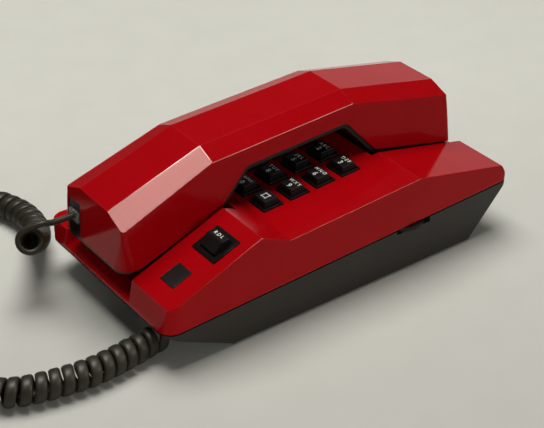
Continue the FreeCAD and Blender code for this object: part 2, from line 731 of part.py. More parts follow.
def redial_key():
    """Roof-shaped cap: two facets that meet in a ridge along X."""
    stem = bar(REDIAL_W, REDIAL_D, KEY_BOTTOM, REDIAL_RIDGE)
    half = REDIAL_D / 2
    roof = [(-half - 1, KEY_BOTTOM - 1), (half + 1, KEY_BOTTOM - 1), (half + 1, REDIAL_FAR_EDGE),
            (REDIAL_RIDGE_V, REDIAL_RIDGE), (-half - 1, REDIAL_NEAR_EDGE)]
    stem = stem.common(side_prism(roof, -REDIAL_W, REDIAL_W))
    flange = bar(REDIAL_W + 2 * KEY_FLANGE, REDIAL_D + 2 * KEY_FLANGE, KEY_BOTTOM, KEY_BOTTOM + KEY_FLANGE_T)
    return at(one_solid(stem.fuse(flange)), REDIAL)


def redial_board():
    """Small board with the tact switch under the redial key."""
    board = bar(SMALL_BOARD_W, SMALL_BOARD_D, BOARD_TOP - BOARD_T, BOARD_TOP)
    holes = [cylinder(BOARD_SCREW_R + SCREW_CLEARANCE, BOARD_TOP - 5, BOARD_TOP + 1, x, y)
             for x, y in small_board_screw_places()]
    switch = bar(TACT_W, TACT_W, BOARD_TOP, BOARD_TOP + TACT_H * TACT_BODY_SHARE)
    button = cylinder(TACT_BUTTON_R, BOARD_TOP, BOARD_TOP + TACT_H)
    board = board.cut(Part.makeCompound(holes)).multiFuse([switch, button])
    return at(one_solid(board), REDIAL)


def badge_plate():
    return at(bar(BADGE_W, BADGE_D, -BADGE_RECESS, BADGE_T - BADGE_RECESS), BADGE)


# Base: hook plunger and switch

def plunger_top():
    """Just under the handset's inner shell at the plunger's near side."""
    return lower_edge_z(PLUNGER_Y - PLUNGER_R) - INNER_T * inner_rake() - HANDSET_SEAT_GAP


def plunger_bottom():
    return near_floor_z(PLUNGER_Y) - WALL - PLUNGER_FLANGE_DROP - PLUNGER_FLANGE_T - PLUNGER_TAIL


def switch_bottom():
    return plunger_bottom() - FIT_GAP - SWITCH_LEVER_T - FIT_GAP - SWITCH_SIZE[2]


def hook_plunger():
    low = plunger_bottom()
    rod = cylinder(PLUNGER_R, low, plunger_top(), HANDSET_X, PLUNGER_Y)
    flange = cylinder(PLUNGER_FLANGE_R, low + PLUNGER_TAIL, low + PLUNGER_TAIL + PLUNGER_FLANGE_T, HANDSET_X,
                      PLUNGER_Y)
    return one_solid(rod.fuse(flange))


def hook_switch():
    """Snap switch with a leaf lever under the plunger."""
    low = switch_bottom()
    sx, sy, sz = SWITCH_SIZE
    body = bar(sx, sy, low, low + sz)
    lever_top = low + sz + FIT_GAP + SWITCH_LEVER_T
    lever = bar(sx, sy / 2, low + sz + FIT_GAP, lever_top)
    heel = box(-sx / 2, -sx / 2 + SWITCH_HEEL, -sy / 4, sy / 4, low + sz, lever_top)
    switch = one_solid(body.multiFuse([lever, heel]))
    switch.translate(Vector(HANDSET_X, PLUNGER_Y, 0))
    return switch


# Base: volume wheel and control

def wheel_x():
    return HALF_WIDTH + WHEEL_OUT - WHEEL_R


def wheel_z0():
    return parting_z(WHEEL_Y) - WHEEL_DROP - WHEEL_T


def control_bottom():
    return wheel_z0() - CONTROL_GAP - CONTROL_H


def volume_wheel():
    """Disc with a ribbed edge on the control's shaft."""
    z0 = wheel_z0()
    wheel = cylinder(WHEEL_R - WHEEL_RIB_DEPTH, z0, z0 + WHEEL_T)
    rib_r = math.pi * (WHEEL_R - WHEEL_RIB_DEPTH) / WHEEL_RIBS / 2
    rib = box(WHEEL_R - WHEEL_RIB_ROOT, WHEEL_R, -rib_r, rib_r, z0, z0 + WHEEL_T)
    ribs = []
    for k in range(WHEEL_RIBS):
        ribs.append(at(rib, Placement(Vector(), Rotation(Vector(0, 0, 1), 360.0 * k / WHEEL_RIBS))))
    wheel = wheel.multiFuse(ribs).cut(cylinder(SHAFT_R + SHAFT_CLEARANCE, z0 - 1, z0 + WHEEL_T + 1))
    wheel.translate(Vector(wheel_x(), WHEEL_Y, 0))
    return one_solid(wheel)


def volume_control():
    low = control_bottom()
    half = CONTROL_W / 2
    body = box(wheel_x() - half, wheel_x() + half, WHEEL_Y - half, WHEEL_Y + half, low, low + CONTROL_H)
    shaft = cylinder(SHAFT_R, low + CONTROL_H, wheel_z0() + WHEEL_T - SHAFT_RECESS, wheel_x(), WHEEL_Y)
    return one_solid(body.fuse(shaft))


# Base: ringer, sockets, feet and screws

def tone_ringer():
    low = TRAY_FLOOR_TOP
    can = cylinder(RINGER_R, low, low + RINGER_T, RINGER_X, RINGER_Y)
    back = cylinder(RINGER_BACK_R, low, low + RINGER_T + RINGER_BACK_T, RINGER_X, RINGER_Y)
    return one_solid(can.fuse(back))


def base_jack_front():
    return undercut_y(BASE_JACK_Z, False) + BASE_JACK_SETBACK


def line_jack_front():
    return undercut_y(LINE_JACK_Z, True) - LINE_JACK_SETBACK


def base_handset_jack():
    y0 = base_jack_front()
    body = box(BASE_JACK_X - BASE_JACK_W / 2, BASE_JACK_X + BASE_JACK_W / 2, y0, y0 + BASE_JACK_DEPTH,
               BASE_JACK_Z - BASE_JACK_H / 2, BASE_JACK_Z + BASE_JACK_H / 2)
    return one_solid(body.cut(socket(BASE_JACK_X, y0, BASE_JACK_Z)))


def socket(x, y0, z):
    half_w = PLUG_W / 2 + SOCKET_GAP
    half_h = PLUG_H / 2 + SOCKET_GAP
    back = y0 + PLUG_LENGTH - PLUG_OUT + SOCKET_GAP
    return box(x - half_w, x + half_w, y0 - 1, back, z - half_h, z + half_h)


def cord_plug(x, y0, z):
    """Four-way modular plug in its socket, its latch on top and its cord end facing -Y."""
    body = box(x - PLUG_W / 2, x + PLUG_W / 2, y0 - PLUG_OUT, y0 + PLUG_LENGTH - PLUG_OUT, z - PLUG_H / 2,
               z + PLUG_H / 2)
    top = z + PLUG_H / 2
    half = LATCH_W / 2
    back = y0 - PLUG_OUT
    latch_slot = box(x - half - LATCH_GAP, x + half + LATCH_GAP, back - 1, back + LATCH_LENGTH,
                     top - LATCH_T - LATCH_GAP, top + 1)
    latch = box(x - half, x + half, back + LATCH_GAP, back + LATCH_LENGTH + LATCH_GAP, top - LATCH_T, top)
    return one_solid(body.cut(latch_slot).fuse(latch))


def line_jack():
    y1 = line_jack_front()
    body = box(LINE_JACK_X - LINE_JACK_W / 2, LINE_JACK_X + LINE_JACK_W / 2, y1 - LINE_JACK_DEPTH, y1,
               LINE_JACK_Z - LINE_JACK_H / 2, LINE_JACK_Z + LINE_JACK_H / 2)
    back = y1 - LINE_SOCKET_DEPTH
    top = LINE_JACK_Z + LINE_SOCKET_H / 2
    mouth = box(LINE_JACK_X - LINE_SOCKET_W / 2, LINE_JACK_X + LINE_SOCKET_W / 2, back, y1 + 1,
                LINE_JACK_Z - LINE_SOCKET_H / 2, top)
    latch_way = box(LINE_JACK_X - LINE_LATCH_W / 2, LINE_JACK_X + LINE_LATCH_W / 2, back, y1 + 1,
                    LINE_JACK_Z, top + LINE_LATCH_H)
    return one_solid(body.cut(mouth).cut(latch_way))


def rubber_feet():
    feet = []
    for sx in (-1, 1):
        for y in FOOT_YS:
            foot = cylinder(FOOT_R, 0, FOOT_HEIGHT, sx * FOOT_X, y)
            rim = [e for e in foot.Edges if abs(e.BoundBox.ZMax) < 1e-6]
            feet.append(foot.makeChamfer(FOOT_CHAMFER, rim))
    return Part.makeCompound(feet)


def case_screws():
    screws = []
    for sx in (-1, 1):
        for y in SCREW_YS:
            head = cylinder(SCREW_HEAD_R, SCREW_SEAT_Z - SCREW_HEAD_T, SCREW_SEAT_Z, sx * SCREW_X, y)
            shank = cylinder(SCREW_R, SCREW_SEAT_Z, SCREW_SEAT_Z + SCREW_LENGTH, sx * SCREW_X, y)
            screws.append(one_solid(head.fuse(shank)))
    return Part.makeCompound(screws)


# Handset: faceted body

def handset_planes():
    """Outer facets as (point, outward normal): ends, drafted sides, top facets and chamfers."""
    planes = []
    near = Vector(0, HANDSET_NEAR_Y, HANDSET_END_Z[0])
    far = Vector(0, HANDSET_FAR_Y, HANDSET_END_Z[1])
    planes.append((near, Vector(0, -1, NEAR_END_LEAN)))
    planes.append((far, Vector(0, 1, FAR_END_LEAN)))
    top = [TOP_NEAR, TOP_CREST_NEAR, TOP_CREST_FAR, TOP_FAR]
    for sx in (-1, 1):
        planes.append((Vector(HANDSET_X + sx * SIDE_REF_HALF, 0, SIDE_REF_Z), Vector(sx, 0, SIDE_DRAFT)))
    for (y0, z0), (y1, z1) in zip(top, top[1:]):
        along = Vector(0, y1 - y0, z1 - z0)
        planes.append((Vector(0, y0, z0), Vector(0, z0 - z1, y1 - y0)))
        for sx in (-1, 1):
            across = Vector(sx * (CHAMFER_REF_HALF - TOP_HALF), 0, -CHAMFER_DROP)
            normal = along.cross(across)
            if normal.z < 0:
                normal = -normal
            planes.append((Vector(HANDSET_X + sx * TOP_HALF, y0, z0), normal))
    return planes


def handset_body(inward):
    """The faceted body with every facet moved inwards, reaching below the lower edge."""
    body = box(-BIG, BIG, -BIG, BIG, HANDSET_LOW_Z, BIG)
    for point, normal in handset_planes():
        unit = Vector(normal).normalize()
        body = body.common(beneath(point - unit * inward, unit))
    return one_solid(body)


def handset_form(inward):
    """The faceted body with the upright edges of both ends rounded more towards the bottom."""
    body = handset_body(inward)
    corners = ((-1, -1, HANDSET_NEAR_LEFT_RADII), (-1, 1, HANDSET_NEAR_RIGHT_RADII),
               (1, -1, HANDSET_FAR_RADII), (1, 1, HANDSET_FAR_RADII))
    for end, side, (small, large) in corners:
        edges = [e for e in body.Edges if is_upright(e, end, side)]
        start, finish = [edges[0].valueAt(t).z for t in edges[0].ParameterRange]
        radii = (large, small) if start < finish else (small, large)
        body = body.makeFillet(radii[0], radii[1], edges)
    return one_solid(body)


def is_upright(edge, end, side):
    """True for the long upright edge between one end (-1 near, 1 far) and one side."""
    bounds = edge.BoundBox
    steep = bounds.ZLength > UPRIGHT_SLOPE * bounds.YLength and bounds.ZLength > UPRIGHT_LEAST
    outside = (bounds.Center.x - HANDSET_X) * side > TOP_HALF
    return steep and outside and bounds.Center.y * end > TOP_FAR[0] - UPRIGHT_LEAST


LOWER_EDGE = [(HANDSET_NEAR_Y, FOOT_NEAR_Z), ARCH_NEAR_FOOT, ARCH_NEAR_TOP, ARCH_FAR_TOP, ARCH_FAR_FOOT,
              (HANDSET_FAR_Y, FOOT_FAR_Z)]


def inner_rake():
    """Vertical height of a unit thickness on the near foot's slope."""
    (y0, z0), (y1, z1) = LOWER_EDGE[0], LOWER_EDGE[1]
    return math.hypot(y1 - y0, z1 - z0) / (y1 - y0)


def lower_edge_z(y):
    (y0, z0), (y1, z1) = LOWER_EDGE[0], LOWER_EDGE[1]
    return z0 + (y - y0) * (z1 - z0) / (y1 - y0)


def below_edge(drop):
    """Everything under the lower edge line, moved down by a distance, with the arch's corners rounded."""
    (ny, nz), (ay, az) = LOWER_EDGE[0], LOWER_EDGE[1]
    (by, bz), (fy, fz) = LOWER_EDGE[4], LOWER_EDGE[5]
    out = RUN_OUT
    near = (ny - out, nz - out * (az - nz) / (ay - ny))
    far = (fy + out, fz + out * (fz - bz) / (fy - by))
    outline = [near] + LOWER_EDGE[1:5] + [far, (far[0], -BIG), (near[0], -BIG)]
    solid = side_prism(inset(outline, drop), -BIG, BIG)
    corners = [e for e in solid.Edges if e.BoundBox.XLength > BIG and is_arch_top(e)]
    return solid.makeFillet(ARCH_R, corners)


def is_arch_top(edge):
    centre = edge.BoundBox.Center
    return centre.z > (ARCH_NEAR_TOP[1] + ARCH_NEAR_FOOT[1]) / 2


def capsule_axis(mouth):
    """Placement on the trough floor's normal, at the seat of the mouthpiece or earpiece boss."""
    y = MOUTH_Y if mouth else EAR_Y
    z = near_floor_z(y) if mouth else far_floor_z(y)
    slope = NEAR_SLOPE if mouth else FAR_SLOPE
    tilt = Rotation(Vector(1, 0, 0), math.degrees(math.atan(slope)))
    return Placement(Vector(HANDSET_X, y, z) + tilt.multVec(Vector(0, 0, HANDSET_SEAT_GAP)), tilt)


def handset_outer_shell():
    shell = handset_form(0.0).cut(handset_form(HANDSET_WALL)).cut(below_edge(0.0))
    posts = []
    for y in HANDSET_SCREW_YS:
        post = cylinder(HANDSET_POST_R, 0, BIG, HANDSET_X, y)
        post = post.common(handset_body(HANDSET_WALL / 2)).cut(below_edge(-FIT_GAP))
        posts.append(post)
    shell = shell.multiFuse(posts)
    holes = [at(cylinder(HANDSET_SCREW_R + SCREW_CLEARANCE, -1, HANDSET_SCREW_LENGTH + 1), screw_axis(y))
             for y in HANDSET_SCREW_YS]
    notch = box(JACK_X - JACK_W / 2 - SOCKET_GAP, JACK_X + JACK_W / 2 + SOCKET_GAP, -BIG,
                HANDSET_NEAR_Y + JACK_NOTCH, 0, JACK_TOP_Z + SOCKET_GAP)
    return one_solid(shell.cut(Part.makeCompound(holes + [notch])))


def edge_height(y):
    """Height of the lower edge line at any Y."""
    for (y0, z0), (y1, z1) in zip(LOWER_EDGE, LOWER_EDGE[1:]):
        if y0 <= y <= y1:
            return z0 + (y - y0) * (z1 - z0) / (y1 - y0)
    raise ValueError(y)


def screw_axis(y):
    """Upright placement at the seat of a handset screw's head."""
    return Placement(Vector(HANDSET_X, y, edge_height(y) - INNER_T / 2), Rotation())


def handset_inner_shell():
    """Dark underside plate with a rim inside the red shell and a boss for each capsule."""
    band = below_edge(0.0).cut(below_edge(INNER_T))
    plate = handset_form(INNER_INSET).common(band)
    rim_body = handset_form(HANDSET_WALL + RIM_GAP).cut(handset_form(HANDSET_WALL + RIM_GAP + RIM_T))
    rim = rim_body.common(below_edge(-RIM_H)).cut(below_edge(INNER_T / 2))
    rim = rim.cut(box(JACK_X - JACK_W / 2 - 1, JACK_X + JACK_W / 2 + 1, -BIG,
                      HANDSET_NEAR_Y + JACK_DEPTH + 2, 0, BIG))
    bosses = []
    wells = []
    for mouth, radius in ((True, MOUTH_R), (False, EAR_R)):
        place = capsule_axis(mouth)
        bosses.append(at(cylinder(radius, 0, RUN_OUT), place).common(below_edge(INNER_T / 2)))
        wells.append(at(cylinder(radius - CAPSULE_WALL, CAPSULE_FLOOR, 2 * RUN_OUT), place))
        for k in range(GRILLE_SLOTS):
            shift = (k - (GRILLE_SLOTS - 1) / 2) * GRILLE_PITCH
            half = math.sqrt((GRILLE_LENGTH / 2) ** 2 - shift ** 2)
            wells.append(at(box(-half, half, shift - GRILLE_SLOT_W / 2, shift + GRILLE_SLOT_W / 2, -1,
                                CAPSULE_FLOOR + 1), place))
    for y in HANDSET_SCREW_YS:
        wells.append(at(cylinder(HANDSET_SCREW_R + SCREW_CLEARANCE, -RUN_OUT, RUN_OUT), screw_axis(y)))
        wells.append(at(cylinder(HANDSET_SCREW_HEAD_R + SCREW_CLEARANCE, -RUN_OUT, 0), screw_axis(y)))
    shell = plate.multiFuse([rim] + bosses).cut(Part.makeCompound(wells))
    return one_solid(shell)


def ring(outer, inner, z0, z1):
    return cylinder(outer, z0, z1).cut(cylinder(inner, z0 - 1, z1 + 1))


def capsule_seal(mouth, radius):
    outer = radius - CAPSULE_WALL - FIT_GAP
    return at(ring(outer, outer - SEAL_W, CAPSULE_FLOOR, CAPSULE_FLOOR + SEAL_T), capsule_axis(mouth))


def capsule(mouth, radius, height):
    low = CAPSULE_FLOOR + SEAL_T
    can = cylinder(radius, low, low + height * CAPSULE_BACK)
    back = cylinder(radius * CAPSULE_BACK, low, low + height)
    return at(one_solid(can.fuse(back)), capsule_axis(mouth))


def handset_jack_front():
    return HANDSET_NEAR_Y + (JACK_SOCKET_Z - HANDSET_END_Z[0]) * NEAR_END_LEAN + JACK_RECESS


def handset_jack():
    """Black block that fills the notch in the near end and holds the modular socket."""
    y0 = handset_jack_front()
    block = box(JACK_X - JACK_W / 2, JACK_X + JACK_W / 2, y0 - 3, y0 + JACK_DEPTH, 0, JACK_TOP_Z)
    block = block.common(handset_body(JACK_RECESS)).cut(below_edge(0.0))
    return one_solid(block.cut(socket(JACK_X, y0, JACK_SOCKET_Z)))


def handset_weight():
    """Steel bar in the grip, on the inner shell above the arch."""
    (y0, z0), (y1, z1) = ARCH_NEAR_TOP, ARCH_FAR_TOP
    tilt = Rotation(Vector(1, 0, 0), math.degrees(math.atan2(z1 - z0, y1 - y0)))
    middle = Vector(HANDSET_X, (y0 + y1) / 2, (z0 + z1) / 2)
    sx, sy, sz = WEIGHT_SIZE
    return at(box(-sx / 2, sx / 2, -sy / 2, sy / 2, 0, sz), Placement(middle, tilt))


def handset_screws():
    screws = []
    for y in HANDSET_SCREW_YS:
        head = cylinder(HANDSET_SCREW_HEAD_R, -HANDSET_SCREW_HEAD_T, 0)
        shank = cylinder(HANDSET_SCREW_R, 0, HANDSET_SCREW_LENGTH)
        screws.append(at(one_solid(head.fuse(shank)), screw_axis(y)))
    return Part.makeCompound(screws)


# Curly cord

def arc_middle(start, tangent, end):
    """Middle of the arc that leaves a point along a tangent and ends at another point."""
    chord = end - start
    unit = Vector(chord).normalize()
    across = tangent - unit * tangent.dot(unit)
    half_turn = math.acos(max(-1.0, min(1.0, tangent.dot(unit))))
    rise = chord.Length / 2 * math.tan(half_turn / 2)
    return start + chord * 0.5 + Vector(across).normalize() * rise


def biarc(start, leave, end, arrive):
    """Two tangent arcs between two points with given directions."""
    gap = end - start
    both = leave + arrive
    spread = 2 * (1 - leave.dot(arrive))
    along = gap.dot(both)
    reach = gap.dot(gap) / (2 * along) if spread < 1e-9 else (
        (-along + math.sqrt(along ** 2 + spread * gap.dot(gap))) / spread)
    joint = (start + end + (leave - arrive) * reach) * 0.5
    first = Part.Arc(start, arc_middle(start, leave, joint), joint)
    second = Part.Arc(joint, arc_middle(end, -arrive, joint), end)
    return [first.toShape(), second.toShape()]


def curl_axis():
    """Straight runs joined by tangent arcs through the route's points, and the arcs' radii."""
    points = [Vector(*p) for p in CURL_ROUTE]
    edges = []
    radii = []
    start = points[0]
    for before, corner, after in zip(points, points[1:], points[2:]):
        u = (corner - before).normalize()
        v = (after - corner).normalize()
        turn = u.getAngle(v)
        cut = BEND_SHARE * min((corner - before).Length, (after - corner).Length)
        radii.append(cut / math.tan(turn / 2))
        enter = corner - u * cut
        leave = corner + v * cut
        edges.append(Part.LineSegment(start, enter).toShape())
        edges.append(Part.Arc(enter, arc_middle(enter, u, leave), leave).toShape())
        start = leave
    edges.append(Part.LineSegment(start, points[-1]).toShape())
    return edges, radii


class CurlFrames:
    """Position, direction and a steady cross direction at any length along the curls' axis."""

    STEP = 0.5

    def __init__(self, edges):
        self.edges = edges
        self.length = sum(e.Length for e in edges)
        count = int(self.length / self.STEP)
        self.across = []
        tangent = self.tangent(0.0)
        across = Vector(0, 0, 1) - tangent * tangent.z
        across.normalize()
        for k in range(count + 2):
            following = self.tangent(min(k * self.STEP, self.length))
            across = across - following * across.dot(following)
            across.normalize()
            self.across.append(across)

    def locate(self, s):
        s = max(0.0, min(self.length, s))
        for edge in self.edges:
            if s <= edge.Length or edge is self.edges[-1]:
                return edge, edge.getParameterByLength(min(s, edge.Length))
            s -= edge.Length

    def point(self, s):
        edge, parameter = self.locate(s)
        return edge.valueAt(parameter)

    def tangent(self, s):
        edge, parameter = self.locate(s)
        return edge.tangentAt(parameter)

    def curvature(self, s):
        return (self.tangent(s + self.STEP / 10) - self.tangent(s - self.STEP / 10)) * (5 / self.STEP)

    def cross(self, s):
        tangent = self.tangent(s)
        across = self.across[int(s / self.STEP)]
        across = (across - tangent * across.dot(tangent)).normalize()
        return tangent, across, tangent.cross(across)


def curl_point(frames, turns):
    """Point and direction of the wire's centre after a number of turns."""
    s = frames.length * turns / CURLS
    tangent, across, third = frames.cross(s)
    angle = CURL_HAND * 2 * math.pi * turns + math.radians(CURL_START_DEG)
    out = across * math.cos(angle) + third * math.sin(angle)
    round_way = third * math.cos(angle) - across * math.sin(angle)
    rate = CURL_HAND * 2 * math.pi * CURLS / frames.length
    direction = tangent * (1 - CURL_R * frames.curvature(s).dot(out)) + round_way * (CURL_R * rate)
    return frames.point(s) + out * CURL_R, direction.normalize()


def cord_path():
    """Edges of the wire's centre line, from the handset's plug to the base's plug."""
    axis, radii = curl_axis()
    print("cord: axis bend radii", [round(r) for r in radii])
    frames = CurlFrames(axis)
    out = Vector(0, -1, 0)
    handset_end = Vector(JACK_X, handset_jack_front() - PLUG_OUT, JACK_SOCKET_Z)
    base_end = Vector(BASE_JACK_X, base_jack_front() - PLUG_OUT, BASE_JACK_Z)
    steps = [k / 2 for k in range(int(2 * CURLS) + 1)]
    if CURLS - steps[-1] > 0.1:
        steps.append(CURLS)
    stations = [curl_point(frames, turns) for turns in steps]
    edges = [Part.LineSegment(handset_end, handset_end + out * TAIL_STRAIGHT).toShape()]
    edges += biarc(handset_end + out * TAIL_STRAIGHT, out, *stations[0])
    for (p, u), (q, v) in zip(stations, stations[1:]):
        edges += biarc(p, u, q, v)
    edges += biarc(*stations[-1], base_end + out * TAIL_STRAIGHT, -out)
    edges.append(Part.LineSegment(base_end + out * TAIL_STRAIGHT, base_end).toShape())
    print("cord: axis", round(frames.length), "mm, wire", round(sum(e.Length for e in edges)), "mm,",
          CURLS, "curls, smallest wire bend", round(smallest_bend(edges), 2))
    return edges


def smallest_bend(edges):
    return min(e.Curve.Radius for e in edges if hasattr(e.Curve, "Radius"))


def print_self_gap(edges):
    """Least gap between stretches of the wire that aren't neighbours, measured on points."""
    points = []
    for edge in edges:
        count = max(2, int(edge.Length / GAP_STEP))
        points += edge.discretize(count)[:-1]
    skip = int(5 * WIRE_R / GAP_STEP)
    reach = 4 * int(2 * math.pi * CURL_R / GAP_STEP)
    least = min((points[i] - points[j]).Length for i in range(len(points))
                for j in range(i + skip, min(i + reach, len(points))))
    print("cord: least gap to itself", round(least - 2 * WIRE_R, 2), "mm, limit", LEAST_SELF_GAP)


def handset_cord():
    edges = cord_path()
    print_self_gap(edges)
    start = edges[0].valueAt(edges[0].FirstParameter)
    corners = []
    for k in range(WIRE_SIDES):
        angle = 2 * math.pi * k / WIRE_SIDES
        corners.append(start + Vector(WIRE_R * math.cos(angle), 0, WIRE_R * math.sin(angle)))
    section = Part.makePolygon(corners + corners[:1])
    cord = one_solid(Part.Wire(edges).makePipeShell([section], True, False))
    area = WIRE_SIDES / 2 * WIRE_R ** 2 * math.sin(2 * math.pi / WIRE_SIDES)
    swept = area * sum(e.Length for e in edges)
    print("cord: volume", round(cord.Volume), "mm3, section times length", round(swept))
    return cord


# Build and write every piece

def main():
    os.makedirs("parts", exist_ok=True)
    save("base_top_cover", base_top_cover())
    save("base_bottom_tray", base_bottom_tray())
    save("keypad_frame", keypad_frame())
    cap = key_cap()
    for name, place in key_places():
        save(name, at(cap, KEYPAD.multiply(Placement(place, Rotation()))))
    save("keypad_mat", keypad_mat())
    save("circuit_board", circuit_board())
    save("board_screws", board_screws())
    save("redial_bezel", redial_bezel())
    save("redial_key", redial_key())
    save("redial_board", redial_board())
    save("badge_plate", badge_plate())
    save("hook_plunger", hook_plunger())
    save("hook_switch", hook_switch())
    save("volume_wheel", volume_wheel())
    save("volume_control", volume_control())
    save("tone_ringer", tone_ringer())
    save("base_handset_jack", base_handset_jack())
    save("line_jack", line_jack())
    save("rubber_feet", rubber_feet())
    save("case_screws", case_screws())
    save("handset_outer_shell", handset_outer_shell())
    save("handset_inner_shell", handset_inner_shell())
    save("transmitter_capsule", capsule(True, TRANSMITTER_R, TRANSMITTER_T))
    save("transmitter_seal", capsule_seal(True, MOUTH_R))
    save("receiver_capsule", capsule(False, RECEIVER_R, RECEIVER_T))
    save("receiver_seal", capsule_seal(False, EAR_R))
    save("handset_jack", handset_jack())
    save("handset_weight", handset_weight())
    save("handset_screws", handset_screws())
    save("handset_cord_plug", cord_plug(JACK_X, handset_jack_front(), JACK_SOCKET_Z))
    save("base_cord_plug", cord_plug(BASE_JACK_X, base_jack_front(), BASE_JACK_Z))
    save("handset_cord", handset_cord())


main()
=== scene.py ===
"""Faceted red desk telephone with a lift-off handset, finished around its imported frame."""

import math

import bmesh
import bpy
from mathutils import Matrix, Quaternion, Vector


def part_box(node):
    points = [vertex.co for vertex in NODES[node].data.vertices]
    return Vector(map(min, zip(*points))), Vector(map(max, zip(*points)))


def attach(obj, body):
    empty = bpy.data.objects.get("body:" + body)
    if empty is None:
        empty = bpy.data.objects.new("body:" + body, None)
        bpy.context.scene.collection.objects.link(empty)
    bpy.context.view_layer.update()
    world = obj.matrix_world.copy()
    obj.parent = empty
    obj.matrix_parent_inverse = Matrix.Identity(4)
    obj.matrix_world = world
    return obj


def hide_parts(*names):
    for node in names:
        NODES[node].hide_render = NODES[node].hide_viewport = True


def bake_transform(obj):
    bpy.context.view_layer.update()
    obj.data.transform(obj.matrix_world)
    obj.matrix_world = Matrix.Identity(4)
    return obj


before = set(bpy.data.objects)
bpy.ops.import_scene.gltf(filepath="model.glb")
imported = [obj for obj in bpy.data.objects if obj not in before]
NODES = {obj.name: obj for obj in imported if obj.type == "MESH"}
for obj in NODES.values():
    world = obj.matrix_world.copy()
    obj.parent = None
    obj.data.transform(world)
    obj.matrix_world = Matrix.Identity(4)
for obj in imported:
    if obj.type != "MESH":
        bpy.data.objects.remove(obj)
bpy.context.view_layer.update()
MM = 0.001

# View: solved from the photograph, in millimetres and degrees of the shared frame
IMAGE_WIDTH = 544
VIEW_TARGET = (32.28, -31.66, 49.35)
VIEW_AZIMUTH = 52.88
VIEW_ELEVATION = 32.76
VIEW_ROLL = 0.68
VIEW_DISTANCE = 709.44
VIEW_FOCAL_PX = 1399.3
SENSOR_WIDTH = 36.0
CAMERA_NEAR = 0.01

# Curly cord: the route of its curls from the handset to the base, and the wire, in millimetres
CURL_ROUTE = [(-28.0, -138.0, 42.0), (-66.0, -113.0, 12.0), (-98.0, -103.0, 8.0), (-130.0, -116.0, 8.0),
              (-138.0, -148.0, 8.0), (-114.0, -174.0, 8.0), (-76.0, -189.0, 8.0), (-34.0, -202.0, 8.0),
              (8.0, -207.0, 8.0), (33.0, -189.0, 8.0), (41.0, -160.0, 8.0), (43.0, -136.0, 8.0),
              (38.0, -106.5, 8.2)]
CURLS = 63.75
CURL_HAND = -1.0
CURL_START_DEG = 345.0
CURL_R = 5.75
STEPS_PER_CURL = 22
WIRE_WIDE = 5.7
WIRE_THICK = 3.3
WIRE_SIDES = 16
WIRE_FLATNESS = 0.75
TAIL_STRAIGHT = 4.6
TAIL_SHARE = 0.4
SPLINE_ORDER = 3
SPLINE_RESOLUTION = 40
LEAST_STEP = 0.05

# Keypad and redial planes: place of the first deck edge and slope, as in the frame, in millimetres
KEYPAD_ORIGIN = (0.0, -38.3, 49.4)
KEYPAD_SLOPE = (85.1, 5.1)
REDIAL_ORIGIN = (40.4, -110.0, 35.6)
REDIAL_SLOPE = (54.2, 21.7)
REDIAL_ALONG = 41.2
KEY_ROWS_AT = (10.2, 27.15, 44.1, 61.05)
KEY_COLUMNS_AT = (-14.0, 4.2, 22.4)
KEY_TOP = 4.2
LEGENDS = ((("star", "*", ""), ("0", "0", "OPER"), ("hash", "#", "")),
           (("7", "7", "PRS"), ("8", "8", "TUV"), ("9", "9", "WXY")),
           (("4", "4", "GHI"), ("5", "5", "JKL"), ("6", "6", "MNO")),
           (("1", "1", ""), ("2", "2", "ABC"), ("3", "3", "DEF")))
DIGIT_SIZE = 4.3
DIGIT_PLACE = (0.1, -1.9)
LETTER_SIZE = 3.0
LETTER_SPACING = 1.5
LETTER_BOLD = 0.018
LETTER_PLACE = (0.0, 2.0)
LETTER_RESOLUTION = 3
LETTERS_AT_FULL_SIZE = 3
LEGEND_PROUD = 0.03
SQUARE_HALF = 1.55
SQUARE_REACH = 2.2
SQUARE_STROKE = 0.55
REDIAL_RIDGE = (1.0, 5.0)
REDIAL_FOOT = (6.4, 3.4)
REDIAL_WORD_SIZE = 2.9
REDIAL_WORD_SPACING = 1.6
REDIAL_WORD_SHIFT = (-0.2, 0.05)


# General helpers

def link(obj):
    bpy.context.scene.collection.objects.link(obj)
    return obj


def mesh_object(name, mesh, material):
    mesh.name = name
    mesh.materials.clear()
    mesh.materials.append(material)
    return link(bpy.data.objects.new(name, mesh))


def evaluated_mesh(obj):
    """A plain mesh of an object with its modifiers or curve applied; the object itself goes."""
    graph = bpy.context.evaluated_depsgraph_get()
    mesh = bpy.data.meshes.new_from_object(obj.evaluated_get(graph))
    bpy.data.objects.remove(obj)
    return mesh


def metres(point):
    return Vector(point) * MM


def deck_matrix(origin, slope, x=0.0, along=0.0, height=0.0):
    """Frame on a sloping deck facet: local Y up the facet, local Z out of it."""
    tilt = Matrix.Rotation(math.atan2(slope[1], slope[0]), 4, "X")
    return Matrix.Translation(metres(origin)) @ tilt @ Matrix.Translation(metres((x, along, height)))


# Shader node groups
SMUDGE_SCALE = 38.0
SMUDGE_SHARE = 0.8
SPECK_SCALE = 900.0
SPECK_SHARE = 0.2
PIT_FINENESS = 2.3


def new_group(name, inputs, outputs):
    group = bpy.data.node_groups.new(name, "ShaderNodeTree")
    for label, value in inputs:
        socket = group.interface.new_socket(label, in_out="INPUT", socket_type="NodeSocketFloat")
        socket.default_value = value
    for label in outputs:
        group.interface.new_socket(label, in_out="OUTPUT", socket_type="NodeSocketFloat")
    start = group.nodes.new("NodeGroupInput")
    end = group.nodes.new("NodeGroupOutput")
    return group, start, end


def math_node(tree, operation, first, second):
    node = tree.nodes.new("ShaderNodeMath")
    node.operation = operation
    for socket, value in zip(node.inputs, (first, second)):
        if isinstance(value, (int, float)):
            socket.default_value = value
        else:
            tree.links.new(value, socket)
    return node.outputs[0]


